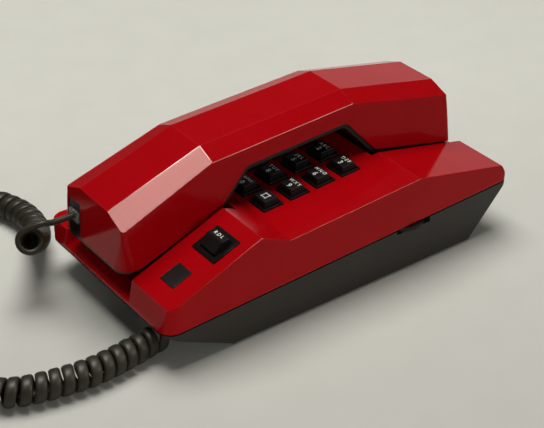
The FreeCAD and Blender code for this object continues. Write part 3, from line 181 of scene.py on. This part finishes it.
def noise_node(tree, vector, scale, detail, roughness=0.55):
    node = tree.nodes.new("ShaderNodeTexNoise")
    node.inputs["Detail"].default_value = detail
    node.inputs["Roughness"].default_value = roughness
    tree.links.new(vector, node.inputs["Vector"])
    if isinstance(scale, (int, float)):
        node.inputs["Scale"].default_value = scale
    else:
        tree.links.new(scale, node.inputs["Scale"])
    return node.outputs["Fac"]


def build_handling_group():
    """Smudges and fine dust of a used plastic surface: a shine value and a tone value."""
    group, start, end = new_group("handling", [("Shine", 0.2), ("Spread", 0.1), ("Tone Spread", 0.1)],
                                  ["Roughness", "Tone"])
    place = group.nodes.new("ShaderNodeTexCoord").outputs["Object"]
    smudge = noise_node(group, place, SMUDGE_SCALE, detail=4.0)
    speck = noise_node(group, place, SPECK_SCALE, detail=2.0)
    both = math_node(group, "ADD", math_node(group, "MULTIPLY", smudge, SMUDGE_SHARE),
                     math_node(group, "MULTIPLY", speck, SPECK_SHARE))
    centred = math_node(group, "SUBTRACT", both, 0.5)
    spread = math_node(group, "MULTIPLY", centred, start.outputs["Spread"])
    group.links.new(math_node(group, "ADD", spread, start.outputs["Shine"]), end.inputs["Roughness"])
    tone = math_node(group, "MULTIPLY", centred, start.outputs["Tone Spread"])
    group.links.new(math_node(group, "ADD", tone, 0.5), end.inputs["Tone"])
    return group


def build_grain_group():
    """Height of a moulded grain: cells of one size with finer pits between them."""
    group, start, end = new_group("moulded_grain", [("Cells", 900.0), ("Pits", 0.3)], ["Height"])
    place = group.nodes.new("ShaderNodeTexCoord").outputs["Object"]
    cells = group.nodes.new("ShaderNodeTexVoronoi")
    group.links.new(place, cells.inputs["Vector"])
    group.links.new(start.outputs["Cells"], cells.inputs["Scale"])
    pit_scale = math_node(group, "MULTIPLY", start.outputs["Cells"], PIT_FINENESS)
    pits = noise_node(group, place, pit_scale, detail=2.0)
    fine = math_node(group, "MULTIPLY", pits, start.outputs["Pits"])
    group.links.new(math_node(group, "ADD", cells.outputs["Distance"], fine), end.inputs["Height"])
    return group


HANDLING = build_handling_group()
GRAIN = build_grain_group()


# Materials
TONE_LOW = 0.35
TONE_HIGH = 0.65
GRAIN_DEPTH = 0.0002
CLEAR_TRANSMISSION = 0.85
CLEAR_IOR = 1.49


def group_node(tree, group, **values):
    node = tree.nodes.new("ShaderNodeGroup")
    node.node_tree = group
    for label, value in values.items():
        node.inputs[label.replace("_", " ")].default_value = value
    return node


def tone_ramp(tree, factor, dark, light):
    ramp = tree.nodes.new("ShaderNodeValToRGB")
    ramp.color_ramp.elements[0].position = TONE_LOW
    ramp.color_ramp.elements[1].position = TONE_HIGH
    ramp.color_ramp.elements[0].color = (*dark, 1.0)
    ramp.color_ramp.elements[1].color = (*light, 1.0)
    tree.links.new(factor, ramp.inputs["Fac"])
    return ramp.outputs["Color"]


def plastic(name, dark, light, shine, spread=0.08, tone_spread=1.0, cells=900.0, pits=0.3, relief=0.0,
            specular=0.5):
    """Moulded plastic: tone and shine vary with handling, with a moulded grain in relief."""
    material = bpy.data.materials.new(name)
    material.use_nodes = True
    tree = material.node_tree
    shader = tree.nodes["Principled BSDF"]
    handling = group_node(tree, HANDLING, Shine=shine, Spread=spread, Tone_Spread=tone_spread)
    tree.links.new(tone_ramp(tree, handling.outputs["Tone"], dark, light), shader.inputs["Base Color"])
    tree.links.new(handling.outputs["Roughness"], shader.inputs["Roughness"])
    shader.inputs["Specular IOR Level"].default_value = specular
    if relief:
        grain = group_node(tree, GRAIN, Cells=cells, Pits=pits)
        bump = tree.nodes.new("ShaderNodeBump")
        bump.inputs["Strength"].default_value = relief
        bump.inputs["Distance"].default_value = GRAIN_DEPTH
        tree.links.new(grain.outputs["Height"], bump.inputs["Height"])
        tree.links.new(bump.outputs["Normal"], shader.inputs["Normal"])
    return material


def metal(name, dark, light, shine):
    material = plastic(name, dark, light, shine, spread=0.2)
    material.node_tree.nodes["Principled BSDF"].inputs["Metallic"].default_value = 1.0
    return material


def clear_plastic(name):
    material = plastic(name, (0.78, 0.79, 0.75), (0.9, 0.9, 0.87), 0.12, tone_spread=0.6)
    shader = material.node_tree.nodes["Principled BSDF"]
    shader.inputs["Transmission Weight"].default_value = CLEAR_TRANSMISSION
    shader.inputs["IOR"].default_value = CLEAR_IOR
    return material


RED = plastic("red_gloss", (0.345, 0.0012, 0.0035), (0.375, 0.0015, 0.0045), 0.11,
              spread=0.03, cells=260.0, pits=0.1, relief=0.015, specular=0.085)
# Painted highlight: a lighter, shinier copy of the red for the long rounded edges, so they show light
# lines; the edge_shine lamp's reflection in them is real light.
RED_EDGE_HIGHLIGHT = plastic("red_edge_highlight", (0.36, 0.0025, 0.005), (0.39, 0.003, 0.006), 0.12,
                   spread=0.04, specular=0.5)
EDGE_HIGHLIGHT_COPY = {RED.name: RED_EDGE_HIGHLIGHT}
TRAY_GREY = plastic("tray_grey", (0.022, 0.0185, 0.015), (0.028, 0.024, 0.019), 0.45,
                    relief=0.25, cells=1500.0, specular=0.3)
UNDERSIDE = plastic("underside_dark", (0.007, 0.006, 0.005), (0.010, 0.009, 0.008), 0.36,
                    relief=0.2, cells=1500.0, specular=0.25)
KEY_BLACK = plastic("key_black", (0.006, 0.0055, 0.0055), (0.010, 0.009, 0.009), 0.38,
                    relief=0.08, cells=1800.0, specular=0.14)
COLLAR_BLACK = plastic("collar_black", (0.003, 0.003, 0.003), (0.006, 0.005, 0.005), 0.3,
                       relief=0.12, cells=1600.0, specular=0.14)
BADGE_DARK = plastic("badge_dark", (0.007, 0.007, 0.008), (0.011, 0.011, 0.012), 0.22, spread=0.2)
LEGEND_WHITE = plastic("legend_white", (0.82, 0.81, 0.77), (0.88, 0.87, 0.83), 0.5)
CORD_JACKET = plastic("cord_jacket", (0.020, 0.017, 0.012), (0.032, 0.027, 0.019), 0.46,
                      spread=0.12, relief=0.1, cells=2200.0, specular=0.3)
RUBBER = plastic("soft_rubber", (0.02, 0.02, 0.02), (0.03, 0.03, 0.03), 0.7, relief=0.3, cells=1500.0)
BOARD_GREEN = plastic("board_green", (0.03, 0.12, 0.05), (0.05, 0.17, 0.07), 0.4, relief=0.1)
ZINC = metal("zinc_steel", (0.50, 0.50, 0.48), (0.64, 0.64, 0.62), 0.34)
CAN_METAL = metal("capsule_metal", (0.48, 0.48, 0.46), (0.6, 0.6, 0.58), 0.3)
CONTACT_GOLD = metal("contact_gold", (0.70, 0.50, 0.20), (0.82, 0.62, 0.28), 0.25)
CLEAR = clear_plastic("plug_clear")


# Moulded pieces: the frame's own forms with their sharp edges softened, in metres and square metres
MERGE_DISTANCE = 2e-6
FLAT_ANGLE = math.radians(0.4)
OUTER_ANGLE = math.radians(11)
INWARD_CREASE = -math.radians(6)
OUTER_CREASE = math.radians(40)
BROAD_FACE = 3.0e-4
FACE_WEIGHT = 100
EDGE_SEGMENTS = 3
EDGE_PROFILE = 0.5
STEP_EDGE = 0.00036
LEAST_EDGE = 0.0009
LONG_EDGE = 0.005
EDGE_ROOM = 1.05
KEY_EDGE = 0.0003


def clean_copy(node):
    """A merged copy of a node's mesh, its flat faces joined up."""
    form = bmesh.new()
    form.from_mesh(NODES[node].data)
    bmesh.ops.remove_doubles(form, verts=form.verts, dist=MERGE_DISTANCE)
    bmesh.ops.dissolve_limit(form, angle_limit=FLAT_ANGLE, verts=form.verts, edges=form.edges,
                             delimit=set())
    return form


def outer_edges(form, least_length):
    """Edges of at least a length where two faces turn away from each other."""
    found = []
    for edge in form.edges:
        if len(edge.link_faces) == 2 and edge.calc_length() >= least_length:
            if edge.calc_face_angle_signed(0.0) > OUTER_ANGLE:
                found.append(edge)
    return found


def bevel(form, edges, width, clamp, material):
    bmesh.ops.bevel(form, geom=edges, offset=width, offset_type="OFFSET", segments=EDGE_SEGMENTS,
                    profile=EDGE_PROFILE, affect="EDGES", clamp_overlap=clamp, material=material)


def has_room(edge, width):
    """Whether the edges that meet this one are all long enough for its rounding."""
    for vertex in edge.verts:
        for other in vertex.link_edges:
            if other is not edge and other.calc_length() < EDGE_ROOM * width:
                return False
    return True


def merge_steps(form):
    """Merges the short steps at the ends of long outer edges."""
    close = {vertex for edge in outer_edges(form, LONG_EDGE) for vertex in edge.verts}
    for end in list(close):
        for edge in end.link_edges:
            if edge.calc_length() < STEP_EDGE:
                close.update(edge.verts)
    in_order = [vertex for vertex in form.verts if vertex in close]
    bmesh.ops.remove_doubles(form, verts=in_order, dist=STEP_EDGE)
    form.normal_update()


def soften(form, width, highlighted):
    """Rounds the outer edges; where edge highlights are painted, only long ones with room, which take the
    second material, the lighter and shinier painted-highlight copy.
    """
    if highlighted:
        merge_steps(form)
        edges = [edge for edge in outer_edges(form, LONG_EDGE) if has_room(edge, width)]
        bevel(form, edges, width, clamp=False, material=1)
    else:
        bevel(form, outer_edges(form, LEAST_EDGE), width, clamp=True, material=0)


def mark_creases(form):
    """Smooth shading that stops at broad flat faces, at inward creases and at sharp outer edges."""
    form.normal_update()
    for face in form.faces:
        face.smooth = face.calc_area() < BROAD_FACE
    for edge in form.edges:
        if len(edge.link_faces) == 2:
            edge.smooth = INWARD_CREASE < edge.calc_face_angle_signed(0.0) < OUTER_CREASE


def moulded(node, name, body, slot, material, width):
    """A node's form with softened edges, standing for that node."""
    form = clean_copy(node)
    edge_highlight = EDGE_HIGHLIGHT_COPY.get(material.name)
    soften(form, width, edge_highlight is not None)
    mark_creases(form)
    mesh = bpy.data.meshes.new(name)
    form.to_mesh(mesh)
    form.free()
    mesh.materials.append(material)
    # The painted-highlight copy of the finish, for the rounded edges, goes in as the second material.
    if edge_highlight:
        mesh.materials.append(edge_highlight)
    piece = link(bpy.data.objects.new(name, mesh))
    even = piece.modifiers.new("even_faces", "WEIGHTED_NORMAL")
    even.weight = FACE_WEIGHT
    even.keep_sharp = True
    finished = link(bpy.data.objects.new(name, evaluated_mesh(piece)))
    finished.data.name = name
    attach(finished, body)
    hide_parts(node)


# Node, piece, body, slot, finish and width of the rounded edges
MOULDED = [
    ("base_top_cover", "cover_shell", "base", "red_plastic", RED, 0.0003),
    ("handset_outer_shell", "handset_top", "handset", "red_plastic", RED, 0.0003),
    ("base_bottom_tray", "tray_shell", "base", "grey_plastic", TRAY_GREY, 0.0004),
    ("handset_inner_shell", "handset_underside", "handset", "dark_plastic", UNDERSIDE, 0.0003),
    ("keypad_frame", "keypad_collars", "base", "black_plastic", COLLAR_BLACK, 0.0002),
    ("redial_bezel", "redial_frame", "base", "black_plastic", COLLAR_BLACK, 0.0003),
    ("redial_key", "redial_cap", "redial_key_body", "black_plastic", KEY_BLACK, 0.0003),
    ("badge_plate", "badge_face", "base", "black_plastic", BADGE_DARK, 0.00015),
    ("handset_jack", "socket_block", "handset", "black_plastic", COLLAR_BLACK, 0.0004),
    ("hook_plunger", "hook_button", "hook_plunger_body", "dark_plastic", UNDERSIDE, 0.0003),
]
for row in MOULDED:
    moulded(*row)
for row in LEGENDS:
    for key, _, _ in row:
        moulded("key_" + key, "cap_" + key, "key_" + key + "_body", "black_plastic", KEY_BLACK, KEY_EDGE)

# The frame's other nodes keep their forms and get their finishes
FINISHES = {
    "volume_wheel": UNDERSIDE, "volume_control": UNDERSIDE, "hook_switch": UNDERSIDE,
    "base_handset_jack": COLLAR_BLACK, "line_jack": COLLAR_BLACK, "circuit_board": BOARD_GREEN,
    "redial_board": BOARD_GREEN, "keypad_mat": RUBBER, "rubber_feet": RUBBER, "transmitter_seal": RUBBER,
    "receiver_seal": RUBBER, "board_screws": ZINC, "case_screws": ZINC, "handset_screws": ZINC,
    "handset_weight": ZINC, "transmitter_capsule": CAN_METAL, "receiver_capsule": CAN_METAL,
    "tone_ringer": CAN_METAL, "handset_cord_plug": CLEAR, "base_cord_plug": CLEAR,
}
for node, finish in FINISHES.items():
    NODES[node].data.materials.clear()
    NODES[node].data.materials.append(finish)


# Legends on the keys

def letters(name, text, size, spacing=1.0):
    """Flat letters centred on the origin, as a mesh."""
    curve = bpy.data.curves.new(name, "FONT")
    curve.body = text
    curve.size = size * MM
    curve.space_character = spacing
    curve.align_x = "CENTER"
    curve.align_y = "CENTER"
    curve.extrude = LEGEND_PROUD * MM
    curve.offset = LETTER_BOLD * size * MM
    curve.resolution_u = LETTER_RESOLUTION
    return evaluated_mesh(link(bpy.data.objects.new(name, curve)))


def joined(meshes):
    whole = bmesh.new()
    for mesh in meshes:
        whole.from_mesh(mesh)
        bpy.data.meshes.remove(mesh)
    result = bpy.data.meshes.new("legend")
    whole.to_mesh(result)
    whole.free()
    return result


def square_sign():
    """Square of four strokes whose ends pass the corners a little."""
    form = bmesh.new()
    for sign in (-1, 1):
        for turn in (0.0, math.pi / 2):
            size = Matrix.Diagonal((SQUARE_STROKE * MM, 2 * SQUARE_REACH * MM, 2 * LEGEND_PROUD * MM, 1.0))
            aside = Matrix.Translation((sign * SQUARE_HALF * MM, 0, 0))
            place = Matrix.Rotation(turn, 4, "Z") @ aside @ size
            bmesh.ops.create_cube(form, size=1.0, matrix=place)
    mesh = bpy.data.meshes.new("square_sign")
    form.to_mesh(mesh)
    form.free()
    return mesh


def legend(key, digit, word, x, along):
    """A key's digit or sign, with its small word above it if it has one."""
    if digit == "#":
        meshes = [square_sign()]
    else:
        sign = letters("digit", digit, DIGIT_SIZE)
        if word:
            sign.transform(Matrix.Translation(metres((*DIGIT_PLACE, 0))))
        meshes = [sign]
    if word:
        fit = min(1.0, LETTERS_AT_FULL_SIZE / len(word))
        small = letters("word", word, LETTER_SIZE * fit, LETTER_SPACING)
        small.transform(Matrix.Translation(metres((*LETTER_PLACE, 0))))
        meshes.append(small)
    mesh = joined(meshes)
    mesh.transform(deck_matrix(KEYPAD_ORIGIN, KEYPAD_SLOPE, x, along, KEY_TOP))
    piece = mesh_object("legend_" + key, mesh, LEGEND_WHITE)
    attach(piece, "key_" + key + "_body")


for along, row in zip(KEY_ROWS_AT, LEGENDS):
    for x, (key, digit, word) in zip(KEY_COLUMNS_AT, row):
        legend(key, digit, word, x, along)


def redial_legend():
    """Letters on the far slope of the roof-shaped redial key."""
    ridge = Vector(REDIAL_RIDGE)
    foot = Vector(REDIAL_FOOT)
    middle = (ridge + foot) / 2 + Vector(REDIAL_WORD_SHIFT)
    slope = math.atan2(foot.y - ridge.y, foot.x - ridge.x)
    mesh = letters("redial_word", "RDL", REDIAL_WORD_SIZE, REDIAL_WORD_SPACING)
    mesh.transform(Matrix.Translation(metres((0, middle.x, middle.y))) @ Matrix.Rotation(slope, 4, "X"))
    mesh.transform(deck_matrix(REDIAL_ORIGIN, REDIAL_SLOPE, 0.0, REDIAL_ALONG))
    piece = mesh_object("legend_redial", mesh, LEGEND_WHITE)
    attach(piece, "redial_key_body")


redial_legend()


# Gold contacts of the plugs, placed by geometry nodes, in millimetres
CONTACTS = 4
CONTACT_PITCH = 1.02
CONTACT_BLADE = (0.45, 3.2, 2.6)
CONTACT_INSET = (2.4, 2.1)


def blade_row_tree(material):
    """A row of upright blades along X: count, pitch and blade size are inputs."""
    tree = bpy.data.node_groups.new("blade_row", "GeometryNodeTree")
    tree.interface.new_socket("Geometry", in_out="OUTPUT", socket_type="NodeSocketGeometry")
    for label, kind, value in (("Count", "NodeSocketInt", 4), ("Pitch", "NodeSocketFloat", 0.001),
                               ("Blade", "NodeSocketVector", (0.0004, 0.004, 0.003))):
        tree.interface.new_socket(label, in_out="INPUT", socket_type=kind).default_value = value
    start = tree.nodes.new("NodeGroupInput")
    end = tree.nodes.new("NodeGroupOutput")
    row = tree.nodes.new("GeometryNodeMeshLine")
    offset = tree.nodes.new("ShaderNodeCombineXYZ")
    blade = tree.nodes.new("GeometryNodeMeshCube")
    place = tree.nodes.new("GeometryNodeInstanceOnPoints")
    realize = tree.nodes.new("GeometryNodeRealizeInstances")
    finish = tree.nodes.new("GeometryNodeSetMaterial")
    finish.inputs["Material"].default_value = material
    wires = [(start.outputs["Count"], row.inputs["Count"]),
             (start.outputs["Pitch"], offset.inputs["X"]),
             (offset.outputs["Vector"], row.inputs["Offset"]),
             (start.outputs["Blade"], blade.inputs["Size"]),
             (row.outputs["Mesh"], place.inputs["Points"]),
             (blade.outputs["Mesh"], place.inputs["Instance"]),
             (place.outputs["Instances"], realize.inputs["Geometry"]),
             (realize.outputs["Geometry"], finish.inputs["Geometry"]),
             (finish.outputs["Geometry"], end.inputs["Geometry"])]
    for source, target in wires:
        tree.links.new(source, target)
    return tree


def run_tree(tree, **values):
    """The mesh that a geometry tree gives with its inputs set by name."""
    carrier = link(bpy.data.objects.new("carrier", bpy.data.meshes.new("carrier")))
    modifier = carrier.modifiers.new("tree", "NODES")
    modifier.node_group = tree
    for item in tree.interface.items_tree:
        if item.item_type == "SOCKET" and item.in_out == "INPUT" and item.name in values:
            modifier[item.identifier] = values[item.name]
    return evaluated_mesh(carrier)


BLADES = blade_row_tree(CONTACT_GOLD)


def plug_contacts(name, node, body):
    """Four gold blades in the front of a plug, seen through its clear body."""
    low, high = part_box(node)
    blade = tuple(side * MM for side in CONTACT_BLADE)
    mesh = run_tree(BLADES, Count=CONTACTS, Pitch=CONTACT_PITCH * MM, Blade=blade)
    first_x = (low.x + high.x) / 2 - CONTACT_PITCH * MM * (CONTACTS - 1) / 2
    inset, rise = CONTACT_INSET
    mesh.transform(Matrix.Translation((first_x, high.y - inset * MM, low.z + rise * MM)))
    piece = mesh_object(name, mesh, CONTACT_GOLD)
    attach(piece, body)
    return piece


HANDSET_CONTACTS = plug_contacts("handset_plug_contacts", "handset_cord_plug", "handset")
BASE_CONTACTS = plug_contacts("base_plug_contacts", "base_cord_plug", "base")


# Curly cord

def spline_points(name, points):
    """Points read from a smooth spline that has the given control points."""
    curve = bpy.data.curves.new(name, "CURVE")
    curve.dimensions = "3D"
    spline = curve.splines.new("NURBS")
    spline.points.add(len(points) - 1)
    for control, point in zip(spline.points, points):
        control.co = (*point, 1.0)
    spline.order_u = SPLINE_ORDER
    spline.use_endpoint_u = True
    spline.resolution_u = SPLINE_RESOLUTION
    mesh = evaluated_mesh(link(bpy.data.objects.new(name, curve)))
    found = []
    for vertex in mesh.vertices:
        if not found or (vertex.co - found[-1]).length > LEAST_STEP * MM:
            found.append(vertex.co.copy())
    bpy.data.meshes.remove(mesh)
    return found


def way_at(points, k):
    """Direction of a row of points at one of them."""
    return (points[min(k + 1, len(points) - 1)] - points[max(k - 1, 0)]).normalized()


def steady_outs(points, first):
    """Cross directions carried along points from a first one."""
    outs = []
    out = first
    for k in range(len(points)):
        tangent = way_at(points, k)
        out = (out - tangent * out.dot(tangent)).normalized()
        outs.append(out)
    return outs


class Line:
    """Position and a steady cross frame at any length along points of a spline."""

    def __init__(self, points, across):
        self.points = points
        self.lengths = [0.0]
        for a, b in zip(points, points[1:]):
            self.lengths.append(self.lengths[-1] + (b - a).length)
        self.tangents = [way_at(points, k) for k in range(len(points))]
        self.acrosses = steady_outs(points, across)
        self.cursor = 0

    def at(self, s):
        """Point, direction and cross direction at a length along the line."""
        while self.cursor > 0 and self.lengths[self.cursor] > s:
            self.cursor -= 1
        while self.cursor < len(self.points) - 2 and self.lengths[self.cursor + 1] < s:
            self.cursor += 1
        k = self.cursor
        share = (s - self.lengths[k]) / (self.lengths[k + 1] - self.lengths[k])
        tangent = self.tangents[k].lerp(self.tangents[k + 1], share).normalized()
        across = self.acrosses[k].lerp(self.acrosses[k + 1], share)
        across = (across - tangent * across.dot(tangent)).normalized()
        return self.points[k].lerp(self.points[k + 1], share), tangent, across


def curl_points(axis):
    """Centre line of the curled wire, and its outward direction at each point."""
    line = Line(axis, Vector((0, 0, 1)))
    total = line.lengths[-1]
    count = int(CURLS * STEPS_PER_CURL)
    points = []
    outs = []
    for k in range(count + 1):
        turns = CURLS * k / count
        centre, tangent, across = line.at(total * k / count)
        angle = CURL_HAND * 2 * math.pi * turns + math.radians(CURL_START_DEG)
        out = Quaternion(tangent, angle) @ across
        points.append(centre + out * CURL_R * MM)
        outs.append(out)
    return points, outs


def plug_end(node):
    """Middle of the end face where the wire comes out of a plug."""
    low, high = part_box(node)
    return Vector(((low.x + high.x) / 2, low.y, (low.z + high.z) / 2))


def tail(start, curl_start, curl_way):
    """Smooth lead from a plug's end to the first point of the curls."""
    out = Vector((0, -1, 0))
    straight = start + out * TAIL_STRAIGHT * MM
    reach = (curl_start - straight).length * TAIL_SHARE
    controls = [start, straight, straight + out * reach, curl_start - curl_way * reach, curl_start]
    return spline_points("tail", controls)


def flattened(value):
    """A circle's coordinate drawn out towards a rounded rectangle's."""
    return math.copysign(abs(value) ** WIRE_FLATNESS, value)


def wire_mesh(points, outs):
    """Tube of flattened round section along points, its flat side facing along the outward directions."""
    form = bmesh.new()
    rings = []
    for k, (point, out) in enumerate(zip(points, outs)):
        tangent = way_at(points, k)
        thick = (out - tangent * out.dot(tangent)).normalized()
        wide = tangent.cross(thick)
        ring = []
        for j in range(WIRE_SIDES):
            angle = 2 * math.pi * j / WIRE_SIDES
            offset = wide * flattened(math.cos(angle)) * WIRE_WIDE / 2
            offset += thick * flattened(math.sin(angle)) * WIRE_THICK / 2
            ring.append(form.verts.new(point + offset * MM))
        rings.append(ring)
    for a, b in zip(rings, rings[1:]):
        for j in range(WIRE_SIDES):
            n = (j + 1) % WIRE_SIDES
            form.faces.new((a[j], a[n], b[n], b[j]))
    form.faces.new(list(reversed(rings[0])))
    form.faces.new(rings[-1])
    bmesh.ops.recalc_face_normals(form, faces=form.faces)
    mesh = bpy.data.meshes.new("wire")
    form.to_mesh(mesh)
    form.free()
    mesh.shade_smooth()
    return mesh


def handset_cord():
    """The cord in one piece: a lead from the handset's plug, the curls, and a lead to the base's plug."""
    curls, outs = curl_points(spline_points("curl_route", [metres(p) for p in CURL_ROUTE]))
    first_way = (curls[1] - curls[0]).normalized()
    last_way = (curls[-2] - curls[-1]).normalized()
    lead = tail(plug_end("handset_cord_plug"), curls[0], first_way)
    tail_back = tail(plug_end("base_cord_plug"), curls[-1], last_way)
    lead_outs = list(reversed(steady_outs(list(reversed(lead)), outs[0])))
    back_outs = steady_outs(list(reversed(tail_back)), outs[-1])
    points = lead[:-1] + curls + list(reversed(tail_back))[1:]
    ways = lead_outs[:-1] + outs + back_outs[1:]
    piece = mesh_object("curly_cord", wire_mesh(points, ways), CORD_JACKET)
    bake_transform(piece)
    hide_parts("handset_cord")


handset_cord()


# Stage, light and camera, in metres and watts
LAMP_WHITE = (1.0, 0.98, 0.95)
LAMP_WARM = (1.0, 0.96, 0.86)
LAMP_AIM = (0.0, 0.0, 0.05)
FAR_LAMP_AIM = (0.0, 0.0, 0.08)
WORLD_COLOUR = (1.0, 0.985, 0.95, 1.0)
WORLD_STRENGTH = 0.08
FLOOR_REACH = 4.0
# Painted shade on the floor: its colour is darkened along this way, over this range, to stand for the
# lamps' falloff.
FLOOR_FALL_WAY = (0.95, -0.3, 0.0)
FLOOR_FALL = (-0.15, 0.2, 1.0, 0.8)


def floor_material():
    """Pale sheet with painted shade: its tone is darkened along one direction, away from the lamps."""
    material = plastic("floor_pale", (0.61, 0.615, 0.56), (0.65, 0.655, 0.60), 0.8, tone_spread=0.5)
    tree = material.node_tree
    shader = tree.nodes["Principled BSDF"]
    sheet = shader.inputs["Base Color"].links[0].from_socket
    place = tree.nodes.new("ShaderNodeTexCoord").outputs["Object"]
    along = tree.nodes.new("ShaderNodeVectorMath")
    along.operation = "DOT_PRODUCT"
    along.inputs[1].default_value = FLOOR_FALL_WAY
    tree.links.new(place, along.inputs[0])
    fall = tree.nodes.new("ShaderNodeMapRange")
    for label, value in zip(("From Min", "From Max", "To Min", "To Max"), FLOOR_FALL):
        fall.inputs[label].default_value = value
    tree.links.new(along.outputs["Value"], fall.inputs["Value"])
    dim = tree.nodes.new("ShaderNodeVectorMath")
    dim.operation = "SCALE"
    tree.links.new(sheet, dim.inputs["Vector"])
    tree.links.new(fall.outputs["Result"], dim.inputs["Scale"])
    tree.links.new(dim.outputs["Vector"], shader.inputs["Base Color"])
    return material


def pale_floor():
    mesh = bpy.data.meshes.new("floor")
    corners = [(-FLOOR_REACH, -FLOOR_REACH, 0), (FLOOR_REACH, -FLOOR_REACH, 0),
               (FLOOR_REACH, FLOOR_REACH, 0), (-FLOOR_REACH, FLOOR_REACH, 0)]
    mesh.from_pydata(corners, [], [(0, 1, 2, 3)])
    mesh_object("floor", mesh, floor_material())


def softbox(name, place, aim, size, power, colour=LAMP_WHITE, lights=True, shines=True):
    """Rectangular soft lamp at a place, turned towards a point, which lights, shines in gloss or both."""
    lamp = bpy.data.lights.new(name, "AREA")
    lamp.shape = "RECTANGLE"
    lamp.size, lamp.size_y = size
    lamp.energy = power
    lamp.color = colour
    obj = link(bpy.data.objects.new(name, lamp))
    obj.location = place
    obj.rotation_euler = (Vector(aim) - Vector(place)).to_track_quat("-Z", "Y").to_euler()
    obj.visible_diffuse = lights
    obj.visible_glossy = shines


def surroundings():
    world = bpy.data.worlds.new("studio")
    bpy.context.scene.world = world
    world.use_nodes = True
    background = world.node_tree.nodes["Background"]
    background.inputs["Color"].default_value = WORLD_COLOUR
    background.inputs["Strength"].default_value = WORLD_STRENGTH


def photo_camera():
    """The camera that was solved from the photograph."""
    azimuth = math.radians(VIEW_AZIMUTH)
    elevation = math.radians(VIEW_ELEVATION)
    roll = math.radians(VIEW_ROLL)
    back = Vector((math.sin(azimuth) * math.cos(elevation), -math.cos(azimuth) * math.cos(elevation),
                   math.sin(elevation)))
    right = Vector((math.cos(azimuth), math.sin(azimuth), 0.0))
    up = back.cross(right)
    across = right * math.cos(roll) + up * math.sin(roll)
    upright = up * math.cos(roll) - right * math.sin(roll)
    data = bpy.data.cameras.new("photo_view")
    data.sensor_fit = "HORIZONTAL"
    data.sensor_width = SENSOR_WIDTH
    data.lens = VIEW_FOCAL_PX / IMAGE_WIDTH * SENSOR_WIDTH
    data.clip_start = CAMERA_NEAR
    camera = link(bpy.data.objects.new("photo_view", data))
    turn = Matrix((across, upright, back)).transposed().to_4x4()
    camera.matrix_world = Matrix.Translation(metres(VIEW_TARGET) + back * VIEW_DISTANCE * MM) @ turn
    bpy.context.scene.camera = camera


pale_floor()
surroundings()
softbox("overhead", (-0.3, 0.06, 1.37), LAMP_AIM, (0.95, 0.95), 19.5, shines=False)
softbox("overhead_shine", (-0.09, -0.02, 1.6), LAMP_AIM, (0.55, 0.55), 34.0, LAMP_WARM, lights=False)
softbox("edge_shine", (1.0, 0.75, 0.78), LAMP_AIM, (0.6, 0.6), 9.0, LAMP_WARM, lights=False)
softbox("far_left", (-1.15, 1.2, 0.25), FAR_LAMP_AIM, (1.2, 0.6), 1.5)
softbox("right_fill", (1.5, -0.45, 0.42), LAMP_AIM, (0.9, 0.3), 6.5, shines=False)
photo_camera()
bpy.context.scene.view_settings.view_transform = "Standard"
